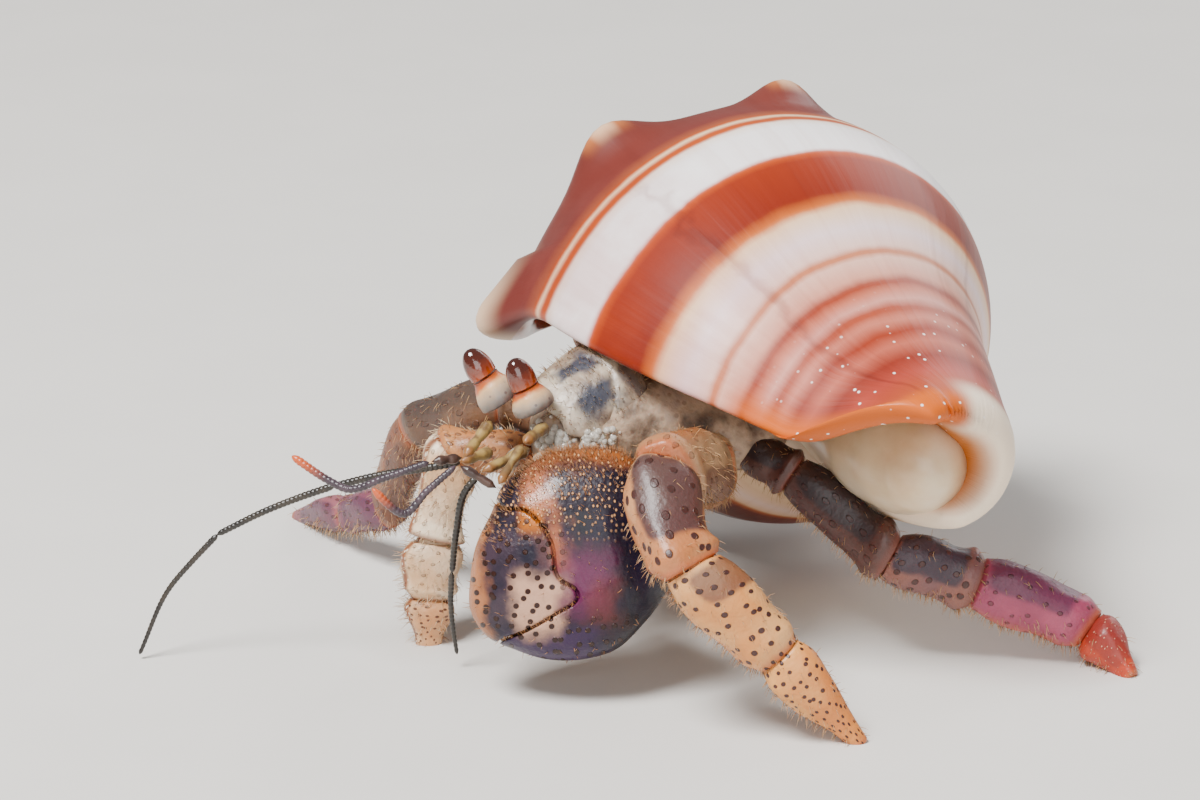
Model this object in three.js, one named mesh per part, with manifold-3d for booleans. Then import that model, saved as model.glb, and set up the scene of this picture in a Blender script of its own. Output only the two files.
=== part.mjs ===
// Land hermit crab (Coenobita) walking in a worn, knobbed sea-snail shell, life size.
// Millimetres, +Z up. The animal faces -Y, its left side is +X, and its feet stand on z = 0.
// The animal and its shell are laid out in a working frame (midline of the head at x = 0),
// and FRAME_SHIFT then brings the middle of the footprint's box to the origin.
import * as THREE from 'three';
import { mergeVertices } from 'three/addons/utils/BufferGeometryUtils.js';
import Module from 'manifold-3d';

const wasm = await Module();
wasm.setup();

// ---------------------------------------------------------------- driving dimensions
const FRAME_SHIFT = [4.8, -13.2, 0];
const JOINT_GAP = 0.3;
const FEELER_SIDES = 6;
const DEGREE = Math.PI / 180;

// The shell: a logarithmic spiral about an axis that starts at the apex.
const SHELL = {
  apex: [-27.8, 38, 20.6],
  axis: [0.970, -0.244, -0.016],
  lip: [-0.228, -0.925, 0.305],
  growthPerTurn: 1.89,
  turns: 3.5,
  wall: 1.25,
  shoulderZ: 16.4,
  knobSpacing: 43.5,
  firstKnob: 6,
  knobHeight: 3.1,
  lipKnobHeight: 4.3,
  cavityTurns: 0.75,
};
// Outer outline of the last whorl at the lip: radius from the axis, distance from the apex.
const WHORL_OUTLINE = [
  [13.2, 9.0], [18.5, 12.0], [22.6, 14.3], [24.3, 16.4], [25.3, 20.5], [25.9, 26.0],
  [25.6, 31.0], [24.4, 35.2], [21.4, 41.5], [17.7, 47.1], [14.2, 53.0], [10.8, 58.0], [8.7, 61.5],
];
// The pillar in the middle of the shell: radius, distance from the apex.
const PILLAR_OUTLINE = [
  [0, 10], [4.6, 12], [4.9, 30], [4.7, 46], [4.3, 52], [3.2, 57], [1.4, 59.4], [0, 59.8],
];

// The shield (front of the carapace): its front point and its own left and back directions.
const SHIELD = {
  front: [0.8, 1.8, 22.9],
  left: [0.857, 0.133, -0.499],
  back: [0.111, 0.908, 0.404],
  halfWidth: 4.6,
  length: 8.7,
  rise: 1.05,
  thickness: 0.9,
  sag: 0.075,
};

// Joints of each limb, from the body outwards, and the width and height of each length.
// "dorsal" is the direction of the limb's upper edge.
const LIMBS = [
  {
    name: 'leg_left_2',
    lengths: ['ischium', 'merus', 'carpus', 'propodus', 'dactyl'],
    joints: [[7.4, 11.4, 17.2], [10.6, 12.4, 18.2], [17.8, 2.4, 21.6], [24.0, 0.4, 15.5],
      [28.0, 6.7, 7.6], [32.6, 12.1, -0.2]],
    dorsal: [[0, 0.2, 1], [-0.2, -0.2, 1], [-0.5, -0.75, 0.4], [0.25, 0.7, 0.65], [0.25, 0.7, 0.65]],
    sizes: [[3.8, 4.6], [4.6, 6.6], [5.0, 6.6], [4.4, 6.0], [3.6, 4.8]],
    lifts: [0, 0.4, 1.0, 0, 0],
    tip: [1.3, 1.5],
  },
  {
    name: 'leg_left_3',
    lengths: ['ischium', 'merus', 'carpus', 'propodus', 'dactyl'],
    joints: [[8.6, 17.8, 18.4], [12.4, 20.0, 16.7], [19.8, 25.0, 10.2], [23.5, 31.7, 7.5],
      [29.0, 40.4, 2.9], [34.1, 40.9, -0.2]],
    dorsal: [[0, 0.3, 1], [0.1, 0.5, 1], [0, 0.2, 1], [0, 0.2, 1], [0.5, 0.3, 1]],
    sizes: [[3.2, 4.0], [3.4, 4.5], [4.0, 5.2], [4.4, 5.6], [3.6, 4.4]],
    lifts: [0, 0, 0.2, 0.3, 0.3],
    tip: [1.4, 1.7],
  },
  {
    name: 'leg_right_2',
    lengths: ['ischium', 'merus', 'carpus', 'propodus', 'dactyl'],
    joints: [[-3.6, 5.6, 19.6], [-7.4, 2.9, 21.4], [-18.0, 0.2, 16.4], [-25.8, 2.2, 6.0],
      [-33.4, 2.4, 3.3], [-43.9, 3.2, -0.1]],
    dorsal: [[-0.2, 0, 1], [-0.3, 0, 1], [-0.8, 0, 0.6], [-0.3, 0, 1], [-0.2, 0, 1]],
    sizes: [[3.2, 4.0], [4.0, 5.0], [3.8, 4.4], [3.4, 4.0], [2.8, 3.4]],
    lifts: [0, 0.2, 0.3, 0.2, 0.3],
    tip: [1.2, 1.3],
  },
  {
    name: 'leg_right_3',
    lengths: ['ischium', 'merus', 'carpus', 'propodus', 'dactyl'],
    joints: [[-4.2, 10.2, 16.6], [-8.4, 11.2, 17.0], [-18.6, 14.2, 12.6], [-23.6, 19.6, 8.8],
      [-28.2, 27.2, 4.0], [-31.4, 34.2, -0.2]],
    dorsal: [[-0.2, 0, 1], [-0.3, 0, 1], [-0.4, 0, 1], [-0.4, 0, 1], [-0.4, 0, 1]],
    sizes: [[3.0, 3.6], [3.4, 4.2], [3.6, 4.4], [3.6, 4.4], [2.8, 3.4]],
    lifts: [0, 0, 0.2, 0.2, 0.2],
    tip: [1.2, 1.4],
  },
];

// The claw-bearing limbs, up to the wrist.
const CLAW_ARMS = [
  {
    name: 'claw_left',
    lengths: ['merus', 'carpus'],
    joints: [[2.6, 4.6, 18.4], [6.4, 4.2, 16.8], [9.6, 1.0, 17.6]],
    dorsal: [[-0.5, 0, 1], [0, 0.4, 1]],
    sizes: [[4.0, 4.6], [4.6, 5.6]],
    lifts: [0, 0],
    tip: [4.8, 5.6],
  },
  {
    name: 'claw_right',
    lengths: ['merus', 'carpus'],
    joints: [[-2.7, 2.0, 18.2], [-8.4, -1.7, 17.3], [-9.0, -3.6, 9.5]],
    dorsal: [[-0.6, -0.8, 0.4], [-0.6, -0.8, 0.2]],
    sizes: [[3.4, 4.0], [3.8, 5.0]],
    lifts: [0, 0.3],
    tip: [3.8, 5.2],
  },
];

// Claws: the middle of the hand, its outline across and up, and its half thickness.
const BIG_CLAW = {
  centre: [8.9, -1.3, 12.5],
  across: [0.5736, 0.8192, 0],
  up: [-0.2531, 0.1772, 0.9511],
  halfThickness: 4.4,
  outline: [[-6.0, 5.9], [-4.1, 7.5], [-1.6, 8.9], [1.1, 9.2], [4.3, 8.9], [6.9, 6.9], [8.2, 3.4],
    [8.7, 0], [8.0, -3.4], [6.1, -6.0], [3.8, -8.1], [1.1, -8.9], [-2.2, -8.9], [-4.8, -8.1],
    [-7.3, -6.9], [-8.7, -4.6], [-8.7, -2.0], [-8.2, 0.9], [-6.8, 3.9]],
  fingerOutline: [[-8.0, 5.4], [-5.8, 4.0], [-3.8, 3.8], [-1.8, 1.3], [-1.3, -1.6], [0.3, -2.8],
    [0.3, -3.7], [-1.3, -4.7], [-3.9, -6.2], [-6.2, -7.2], [-8.5, -9.2], [-11.0, -5.0], [-11.0, 2.0]],
};
const SMALL_CLAW = {
  wrist: [-8.95, -3.65, 9.1],
  fork: [-8.4, -4.6, 4.1],
  tip: [-8.1, -5.1, -0.35],
  palm: [3.8, 5.4],
  fingers: [3.2, 4.4],
  ends: [1.6, 2.2],
};

// Eye stalks: root, tip, breadth, thickness and the length of the cornea at the tip.
const EYES = [
  { side: 'left', root: [1.5, 0.1, 23.5], tip: [0.6, -1.7, 28.2] },
  { side: 'right', root: [-1.4, -1.4, 23.6], tip: [-3.3, -3.8, 28.4] },
];
const EYE_STALK = { rootSize: [2.5, 3.0], neckSize: [1.7, 2.1], corneaSize: [1.9, 2.4], corneaLength: 2.1 };

// Feelers: each is a chain of lengths with its points, and its thickness at both ends.
const FEELERS = [
  { name: 'antennule_left_base', from: 1.6, to: 1.3, points: [[2.2, 0.7, 22.1], [4.3, -2.9, 21.9]] },
  { name: 'antennule_left_middle', from: 1.2, to: 1.0, points: [[4.6, -3.5, 21.7], [6.6, -7.1, 19.7]] },
  { name: 'antennule_left_end', from: 1.0, to: 1.2, points: [[6.7, -7.8, 19.5], [5.0, -9.8, 21.1]] },
  { name: 'antennule_left_lash', from: 0.8, to: 1.0,
    points: [[4.6, -10.5, 21.1], [3.9, -12.7, 19.3], [3.1, -14.8, 17.4], [2.8, -15.6, 18.0],
      [2.1, -16.9, 19.6]] },
  { name: 'antennule_right_base', from: 1.6, to: 1.2, points: [[-1.0, -3.0, 22.2], [0.9, -6.8, 20.5]] },
  { name: 'antennule_right_middle', from: 1.2, to: 1.2, points: [[1.0, -7.5, 20.4], [0.7, -9.9, 20.5]] },
  { name: 'antennule_right_lash', from: 0.8, to: 1.0,
    points: [[0.5, -10.6, 20.4], [-1.7, -13.5, 19.0], [-4.2, -15.9, 17.8], [-5.3, -16.7, 18.3],
      [-7.8, -18.8, 20.2]] },
  { name: 'antenna_right_base', from: 1.6, to: 1.2, points: [[-2.6, -1.8, 18.9], [-1.6, -5.5, 19.0]] },
  { name: 'antenna_right_lash_1', from: 0.95, to: 0.9,
    points: [[-1.5, -6.1, 19.0], [-2.9, -8.7, 18.6], [-5.8, -11.9, 17.7], [-8.3, -14.2, 16.6]] },
  { name: 'antenna_right_lash_2', from: 0.9, to: 0.75,
    points: [[-8.6, -14.5, 16.5], [-10.7, -16.5, 15.3], [-12.6, -18.8, 14.0], [-15.4, -22.0, 11.7]] },
  { name: 'antenna_right_lash_3', from: 0.75, to: 0.5,
    points: [[-15.6, -22.3, 11.4], [-16.8, -23.9, 9.2], [-17.9, -25.7, 6.7], [-19.3, -28.1, 0.7]] },
  { name: 'antenna_left_base', from: 1.6, to: 1.1, points: [[2.2, -1.2, 20.3], [2.3, -5.8, 19.3]] },
  { name: 'antenna_left_lash_1', from: 0.9, to: 0.75,
    points: [[2.3, -6.5, 19.0], [1.8, -7.4, 17.7], [1.0, -7.9, 13.9], [0.1, -7.8, 9.9]] },
  { name: 'antenna_left_lash_2', from: 0.75, to: 0.5,
    points: [[0.0, -7.8, 9.5], [-0.8, -7.4, 6.3], [-1.2, -6.9, 3.8], [-1.3, -6.5, 1.6]] },
];

// Mouth limbs in front, as feelers are given.
const MAXILLIPEDS = [
  { name: 'maxilliped_left', from: 2.0, to: 1.0,
    points: [[1.9, 0.6, 19.6], [2.3, -0.6, 18.0], [1.7, -1.2, 16.4]] },
  { name: 'maxilliped_right', from: 2.0, to: 1.0,
    points: [[-0.9, -0.5, 19.3], [-0.3, -1.5, 17.6], [-0.6, -1.9, 16.2]] },
];

// Sections of the trunk, from behind the head to where it turns up into the shell.
const TRUNK = [
  { at: [-0.4, 1.9, 20.4], width: 5.0, height: 4.6 },
  { at: [-0.3, 4.0, 20.0], width: 7.4, height: 7.4 },
  { at: [0.8, 8.0, 20.2], width: 9.0, height: 9.2 },
  { at: [2.4, 12.0, 20.3], width: 9.2, height: 9.4 },
  { at: [5.0, 16.2, 19.9], width: 8.4, height: 8.2 },
  { at: [7.4, 18.9, 19.3], width: 6.4, height: 6.2 },
];

// The soft abdomen, coiled inside the last turn of the shell: radius and height are the
// spiral's own, and the two half sizes are those of its section.
const ABDOMEN = { fromDegrees: -6, toDegrees: -96, radius: 13.2, z: 36.5, halfRadial: 4.6, halfAxial: 5.4 };

const FINISHES = {
  shell: { color: 0xd9a184, roughness: 0.35 },
  shield: { color: 0xcbb496, roughness: 0.55 },
  skin: { color: 0x9c8a78, roughness: 0.7 },
  leg: { color: 0xb7784f, roughness: 0.45 },
  farLeg: { color: 0x8d6250, roughness: 0.5 },
  claw: { color: 0x5b4a62, roughness: 0.4 },
  paleClaw: { color: 0xd6b896, roughness: 0.5 },
  eye: { color: 0x3a1408, roughness: 0.08 },
  stalk: { color: 0xc9a084, roughness: 0.4 },
  feeler: { color: 0x5a4a3a, roughness: 0.45 },
};

// ---------------------------------------------------------------- small tools
const group = new THREE.Group();
group.position.set(...FRAME_SHIFT);

const vec = (p) => new THREE.Vector3(...p);
const mix = (a, b, f) => a.clone().lerp(b, f);
const smoothstep = (a, b, x) => THREE.MathUtils.smoothstep(x, a, b);
const mean = (a, b) => (a + b) / 2;

function place(name, geometry, finish) {
  const material = new THREE.MeshStandardMaterial({ metalness: 0, ...FINISHES[finish] });
  const mesh = new THREE.Mesh(geometry, material);
  mesh.name = name;
  group.add(mesh);
}

function signedVolume(geometry) {
  const position = geometry.getAttribute('position');
  const index = geometry.getIndex();
  const [a, b, c] = [new THREE.Vector3(), new THREE.Vector3(), new THREE.Vector3()];
  let sum = 0;
  for (let i = 0; i < index.count; i += 3) {
    a.fromBufferAttribute(position, index.getX(i));
    b.fromBufferAttribute(position, index.getX(i + 1));
    c.fromBufferAttribute(position, index.getX(i + 2));
    sum += a.dot(b.cross(c)) / 6;
  }
  return sum;
}

// Turns a closed geometry's faces round where they point inwards.
function outward(geometry) {
  if (signedVolume(geometry) < 0) {
    const index = geometry.getIndex();
    for (let i = 0; i < index.count; i += 3) {
      const first = index.getX(i);
      index.setX(i, index.getX(i + 1));
      index.setX(i + 1, first);
    }
  }
  return geometry;
}

// A closed body through a row of rings with equally many points, closed to a middle point at
// each end. Points lower than the floor are brought up to it, which makes a foot's small flat.
function bodyFromRings(rings) {
  const sides = rings[0].length;
  const points = rings.flat();
  const ends = [rings[0], rings.at(-1)].map((ring) => {
    const middle = new THREE.Vector3();
    ring.forEach((p) => middle.addScaledVector(p, 1 / sides));
    return middle;
  });
  points.push(...ends);
  const [first, last] = [points.length - 2, points.length - 1];
  const faces = [];
  for (let i = 0; i < sides; i += 1) {
    const next = (i + 1) % sides;
    for (let r = 0; r < rings.length - 1; r += 1) {
      const [a, b] = [r * sides + i, r * sides + next];
      faces.push(a, b, b + sides, a, b + sides, a + sides);
    }
    const base = (rings.length - 1) * sides;
    faces.push(first, next, i);
    faces.push(last, base + i, base + next);
  }
  const geometry = new THREE.BufferGeometry();
  const flat = points.flatMap((p) => [p.x, p.y, Math.max(p.z, 0)]);
  geometry.setAttribute('position', new THREE.Float32BufferAttribute(flat, 3));
  geometry.setIndex(faces);
  return outward(geometry);
}

function solid(geometry) {
  const bare = geometry.clone();
  bare.deleteAttribute('normal');
  bare.deleteAttribute('uv');
  const merged = mergeVertices(bare, 1e-4);
  outward(merged);
  return new wasm.Manifold(new wasm.Mesh({
    numProp: 3,
    vertProperties: new Float32Array(merged.getAttribute('position').array),
    triVerts: new Uint32Array(merged.getIndex().array),
  }));
}

function geometryOf(manifold) {
  const mesh = manifold.getMesh();
  const geometry = new THREE.BufferGeometry();
  geometry.setAttribute('position', new THREE.BufferAttribute(mesh.vertProperties, 3));
  geometry.setIndex(new THREE.BufferAttribute(mesh.triVerts, 1));
  return geometry;
}

const union = (solids) => solids.reduce((sum, next) => sum.add(next));
const without = (body, cutters) => cutters.reduce((rest, cutter) => rest.subtract(cutter), body);

// ---------------------------------------------------------------- the shell
const shellAxis = vec(SHELL.axis).normalize();
const lipDirection = vec(SHELL.lip).addScaledVector(shellAxis, -vec(SHELL.lip).dot(shellAxis)).normalize();
const growthDirection = shellAxis.clone().cross(lipDirection);

const spiral = (turns) => SHELL.growthPerTurn ** turns;

// The canal at the front end keeps its length for more than half a turn, as the spiral narrows.
const canalShare = (angle, z) => smoothstep(46, 59, z) * smoothstep(-340 * DEGREE, -220 * DEGREE, angle);

// The lip runs on a little past its own plane at the shoulder, where its last knob stands, and
// draws back where it turns into the canal.
function lipRun(angle, z) {
  const shoulder = 10 * smoothstep(-40 * DEGREE, 0, angle) * Math.exp(-(((z - 15) / 6.5) ** 2));
  const canal = 35 * smoothstep(-100 * DEGREE, 0, angle) * smoothstep(50, 62, z);
  return (shoulder - canal) * DEGREE;
}

function knob(angle, z) {
  const degrees = angle / DEGREE;
  const count = Math.round((SHELL.firstKnob - degrees) / SHELL.knobSpacing);
  const off = degrees - (SHELL.firstKnob - count * SHELL.knobSpacing);
  const height = count === 0 ? SHELL.lipKnobHeight : SHELL.knobHeight;
  const along = Math.exp(-((off / 10) ** 2));
  const across = Math.exp(-(((z - SHELL.shoulderZ) / 2.8) ** 2));
  return height * along * across;
}

function shellPoint(angle, radius, z) {
  const turns = angle / (2 * Math.PI);
  const canal = canalShare(angle, z);
  const side = radius * spiral(turns * (1 + 0.35 * canal));
  const height = z * spiral(turns * (1 - 0.75 * canal));
  const turn = angle + lipRun(angle, z);
  return vec(SHELL.apex)
    .addScaledVector(lipDirection, side * Math.cos(turn))
    .addScaledVector(growthDirection, side * Math.sin(turn))
    .addScaledVector(shellAxis, height);
}

// One stretch of whorl, at most half a turn, with a closed section swept round the axis.
function whorl(fromDegrees, toDegrees, steps, section) {
  const rings = [];
  for (let i = 0; i <= steps; i += 1) {
    const angle = THREE.MathUtils.lerp(fromDegrees, toDegrees, i / steps) * DEGREE;
    rings.push(section(angle).map(([r, z]) => shellPoint(angle, r, z)));
  }
  return solid(bodyFromRings(rings));
}

const outerSection = (angle) => [
  ...WHORL_OUTLINE.map(([r, z]) => [r + knob(angle, z), z - 0.25 * knob(angle, z)]),
  [0.6, 61.0], [0.6, 50], [0.6, 40], [0.6, 30], [0.6, 22], [0.6, 12],
];

const innerSection = () => {
  const wall = SHELL.wall;
  const outer = WHORL_OUTLINE.slice(2, -1).map(([r, z]) => [r - wall * (z > 18 ? 1 : 0.6), z + wall * 0.7]);
  return [[15.2, 12.6], ...outer, [7.3, 64], [3.4, 64], [3.4, 50], [3.4, 40], [3.4, 30], [3.4, 18]];
};

const oldWhorls = [];
for (let half = 2; half < SHELL.turns * 2; half += 1) {
  oldWhorls.push(whorl(-180 * (half + 1), -180 * half, half < 4 ? 10 : 8, outerSection));
}
const lastWhorl = [whorl(-360, -180, 12, outerSection), whorl(-180, 0, 16, outerSection)];
const pillarTurn = new THREE.Matrix4()
  .makeBasis(lipDirection, growthDirection, shellAxis)
  .setPosition(vec(SHELL.apex));
const pillarProfile = PILLAR_OUTLINE.map(([r, z]) => new THREE.Vector2(r, z));
const pillarLathe = new THREE.LatheGeometry(pillarProfile, 14).rotateX(Math.PI / 2);
const pillar = solid(pillarLathe.applyMatrix4(pillarTurn));
const cavity = [whorl(-SHELL.cavityTurns * 360, -135, 11, innerSection), whorl(-135, 4, 11, innerSection)];
const core = union([...oldWhorls, pillar]);
const shell = without(union([core, ...lastWhorl]), cavity).add(core);

// ---------------------------------------------------------------- limbs
// A frame across a length of limb: its direction, its upper side and its outer side.
function lengthFrame(start, end, dorsal) {
  const along = end.clone().sub(start).normalize();
  const upper = vec(dorsal).addScaledVector(along, -vec(dorsal).dot(along)).normalize();
  return { along, upper, outer: along.clone().cross(upper) };
}

// One length of a limb. "stations" are [fraction, width, height, lift]; each end is cut on its
// own plane, so that the next length meets it squarely with a small gap.
function limbLength({ start, end, dorsal, stations, planes, sides = 10, grow = 0, gap = JOINT_GAP }) {
  const { along, upper, outer } = lengthFrame(start, end, dorsal);
  const [firstPlane, lastPlane] = planes;
  const rings = stations.map(([f, width, height, lift = 0]) => {
    const middle = mix(start, end, f).addScaledVector(upper, lift);
    const ring = [];
    for (let i = 0; i < sides; i += 1) {
      const turn = (2 * Math.PI * (i + 0.5)) / sides;
      const p = middle.clone()
        .addScaledVector(outer, (width / 2 + grow) * Math.cos(turn))
        .addScaledVector(upper, (height / 2 + grow) * Math.sin(turn));
      const fromStart = p.clone().sub(start);
      const toFirst = firstPlane.dot(fromStart) - along.dot(fromStart) * firstPlane.dot(along);
      const fromEnd = p.clone().sub(end);
      const toLast = lastPlane.dot(fromEnd) - along.dot(fromEnd) * lastPlane.dot(along);
      const startShift = (gap / 2 - grow - toFirst) / firstPlane.dot(along);
      const endShift = (-gap / 2 + grow - toLast) / lastPlane.dot(along);
      ring.push(p.addScaledVector(along, THREE.MathUtils.lerp(startShift, endShift, f)));
    }
    return ring;
  });
  return bodyFromRings(rings);
}

// The plane between two lengths halves their bend.
const planeBetween = (a, b, c) => b.clone().sub(a).normalize().add(c.clone().sub(b).normalize()).normalize();

// Stations of one length: narrow at the joint behind, full before the middle, and as wide as the
// next length's root at its end.
function lengthStations([width, height], [endWidth, endHeight], lift, isTip) {
  if (isTip) {
    return [[0, 0.82 * width, 0.84 * height], [0.12, width, height, 0.5 * lift],
      [0.4, 0.9 * width, 0.9 * height, lift],
      [0.75, mean(0.66 * width, endWidth), mean(0.7 * height, endHeight), 0.6 * lift],
      [1, endWidth, endHeight]];
  }
  return [[0, 0.76 * width, 0.8 * height], [0.14, 0.93 * width, 0.95 * height, 0.5 * lift],
    [0.45, width, height, lift], [0.8, mean(width, endWidth), mean(height, endHeight), 0.6 * lift],
    [1, 0.84 * endWidth, 0.86 * endHeight]];
}

// All lengths of one limb, as { name, geometry(grow) }.
function limb({ name, lengths, joints, dorsal, sizes, lifts, tip }) {
  const points = joints.map(vec);
  return lengths.map((lengthName, i) => {
    const [start, end] = [points[i], points[i + 1]];
    const direction = end.clone().sub(start).normalize();
    const before = i > 0 ? planeBetween(points[i - 1], start, end) : direction;
    const after = i < lengths.length - 1 ? planeBetween(start, end, points[i + 2]) : direction;
    const stations = lengthStations(sizes[i], sizes[i + 1] ?? tip, lifts[i], i === lengths.length - 1);
    const shape = { start, end, dorsal: dorsal[i], stations, planes: [before, after] };
    return { name: `${name}_${lengthName}`, geometry: (grow = 0) => limbLength({ ...shape, grow }) };
  });
}

// ---------------------------------------------------------------- cushions: claws and the shield
// A rounded body over a flat outline: the outline shrinks towards its middle as it leaves its
// plane on each side, "above" and "below" by their own heights.
function cushion({ centre, across, up, outline, above, below, grow = 0, layers = 4, sag = 0 }) {
  const acrossAxis = vec(across).normalize();
  const upAxis = vec(up).addScaledVector(acrossAxis, -vec(up).dot(acrossAxis)).normalize();
  const out = acrossAxis.clone().cross(upAxis);
  const rings = [];
  for (let layer = -layers; layer <= layers; layer += 1) {
    const turn = (layer / layers) * 82 * DEGREE;
    const scale = Math.cos(turn) ** 0.75;
    const height = Math.sin(turn) * ((layer > 0 ? above : below) + grow);
    rings.push(outline.map(([x, y]) => {
      const far = 1 + grow / Math.hypot(x, y);
      const [u, v] = [x * far * scale, y * far * scale];
      return vec(centre)
        .addScaledVector(acrossAxis, u)
        .addScaledVector(upAxis, v)
        .addScaledVector(out, height - sag * u * u);
    }));
  }
  return bodyFromRings(rings);
}

// A straight prism through the claw over the movable finger's outline.
function fingerPrism(outline, grow) {
  const shape = new THREE.Shape(outline.map(([x, y]) => new THREE.Vector2(x, y)));
  const depth = 4 * BIG_CLAW.halfThickness;
  const options = grow > 0
    ? { depth, bevelEnabled: true, bevelThickness: 0.1, bevelSize: grow, bevelSegments: 1, steps: 1 }
    : { depth, bevelEnabled: false, steps: 1 };
  const across = vec(BIG_CLAW.across);
  const up = vec(BIG_CLAW.up);
  const out = across.clone().cross(up);
  const turn = new THREE.Matrix4().makeBasis(across, up, out).setPosition(vec(BIG_CLAW.centre));
  return solid(new THREE.ExtrudeGeometry(shape, options).translate(0, 0, -depth / 2).applyMatrix4(turn));
}

function bigClaw(wristCutter) {
  const above = BIG_CLAW.halfThickness;
  const hand = solid(cushion({ ...BIG_CLAW, above, below: 0.8 * above }));
  return {
    palm: hand.subtract(fingerPrism(BIG_CLAW.fingerOutline, JOINT_GAP)).subtract(wristCutter),
    finger: hand.intersect(fingerPrism(BIG_CLAW.fingerOutline, 0)),
  };
}

// ---------------------------------------------------------------- feelers and eyes
// A round tapering body along a smooth curve through its points.
function feeler({ points, from, to }, sides = FEELER_SIDES, rows = 3) {
  const curve = new THREE.CatmullRomCurve3(points.map(vec));
  const steps = points.length > 2 ? (points.length - 1) * rows : 2;
  const frames = curve.computeFrenetFrames(steps, false);
  const rings = [];
  for (let i = 0; i <= steps; i += 1) {
    const middle = curve.getPointAt(i / steps);
    const radius = THREE.MathUtils.lerp(from, to, i / steps) / 2;
    const ring = [];
    for (let s = 0; s < sides; s += 1) {
      const turn = (2 * Math.PI * s) / sides;
      ring.push(middle.clone()
        .addScaledVector(frames.normals[i], radius * Math.cos(turn))
        .addScaledVector(frames.binormals[i], radius * Math.sin(turn)));
    }
    rings.push(ring);
  }
  return bodyFromRings(rings);
}

function eye({ side, root, tip }) {
  const [start, end] = [vec(root), vec(tip)];
  const length = start.distanceTo(end);
  const direction = end.clone().sub(start).normalize();
  const neck = mix(start, end, 1 - EYE_STALK.corneaLength / length);
  const [rw, rh] = EYE_STALK.rootSize;
  const [nw, nh] = EYE_STALK.neckSize;
  const [cw, ch] = EYE_STALK.corneaSize;
  const dorsal = SHIELD.back;
  const planes = [direction, direction];
  place(`eyestalk_${side}`, limbLength({
    start, end: neck, dorsal, planes, gap: 0,
    stations: [[0, rw * 0.85, rh * 0.85], [0.2, rw, rh], [0.6, mean(rw, nw), mean(rh, nh)], [1, nw, nh]],
  }), 'stalk');
  place(`cornea_${side}`, limbLength({
    start: neck, end, dorsal, planes, gap: 0,
    stations: [[0.14, nw, nh], [0.4, cw, ch], [0.7, cw * 0.86, ch * 0.86], [0.92, cw * 0.5, ch * 0.5],
      [1, cw * 0.2, ch * 0.2]],
  }), 'eye');
}

// ---------------------------------------------------------------- trunk
const shieldOutline = (() => {
  const { halfWidth: w, length: l } = SHIELD;
  const half = [[0, 0], [0.3, 0.04], [0.55, 0.01], [0.78, 0.13], [0.92, 0.35], [1, 0.6], [0.97, 0.82],
    [0.7, 0.97]];
  const left = half.map(([x, y]) => [x * w, (y - 0.5) * l]);
  const right = half.slice(1).reverse().map(([x, y]) => [-x * w, (y - 0.5) * l]);
  return [...left, [0, 0.5 * l], ...right];
})();
const shieldMiddle = vec(SHIELD.front).addScaledVector(vec(SHIELD.back), SHIELD.length / 2).toArray();
const shieldShape = (grow) => cushion({
  centre: shieldMiddle, across: SHIELD.left, up: SHIELD.back, outline: shieldOutline,
  above: SHIELD.rise, below: SHIELD.thickness, sag: SHIELD.sag, layers: 3, grow,
});

function trunk(sections, sides = 14) {
  const left = vec(SHIELD.left);
  const rings = sections.map(({ at, width, height }, i) => {
    const before = vec(sections[Math.max(i - 1, 0)].at);
    const after = vec(sections[Math.min(i + 1, sections.length - 1)].at);
    const along = after.sub(before).normalize();
    const outer = left.clone().addScaledVector(along, -left.dot(along)).normalize();
    const upper = along.clone().cross(outer);
    return Array.from({ length: sides }, (_, s) => vec(at)
      .addScaledVector(outer, (width / 2) * Math.cos((2 * Math.PI * s) / sides))
      .addScaledVector(upper, (height / 2) * Math.sin((2 * Math.PI * s) / sides)));
  });
  return solid(bodyFromRings(rings));
}

function abdomen() {
  const rings = [];
  const steps = 8;
  for (let i = 0; i <= steps; i += 1) {
    const f = i / steps;
    const angle = THREE.MathUtils.lerp(ABDOMEN.fromDegrees, ABDOMEN.toDegrees, f) * DEGREE;
    const size = Math.sqrt(Math.max(0.15, Math.sin(Math.PI * (0.18 + 0.74 * f))));
    rings.push(Array.from({ length: 12 }, (_, s) => {
      const turn = (2 * Math.PI * s) / 12;
      return shellPoint(angle, ABDOMEN.radius + size * ABDOMEN.halfRadial * Math.cos(turn),
        ABDOMEN.z - 6 * f + size * ABDOMEN.halfAxial * Math.sin(turn));
    }));
  }
  return solid(bodyFromRings(rings));
}

// ---------------------------------------------------------------- the model
const legs = LIMBS.flatMap(limb);
const arms = CLAW_ARMS.flatMap(limb);
const limbRoots = [...legs, ...arms].filter(({ name }) => /ischium|merus/.test(name));
const rootCutters = limbRoots.map(({ geometry }) => solid(geometry(JOINT_GAP)));

place('shell', geometryOf(shell), 'shell');
place('shield', shieldShape(0), 'shield');
const shieldCutter = solid(shieldShape(JOINT_GAP));
place('thorax', geometryOf(without(trunk(TRUNK), [shieldCutter, ...rootCutters])), 'skin');
place('abdomen', geometryOf(abdomen()), 'skin');
legs.forEach(({ name, geometry }) => place(name, geometry(), name.startsWith('leg_left') ? 'leg' : 'farLeg'));
arms.forEach(({ name, geometry }) => place(name, geometry(), name.includes('left') ? 'claw' : 'paleClaw'));

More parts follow.
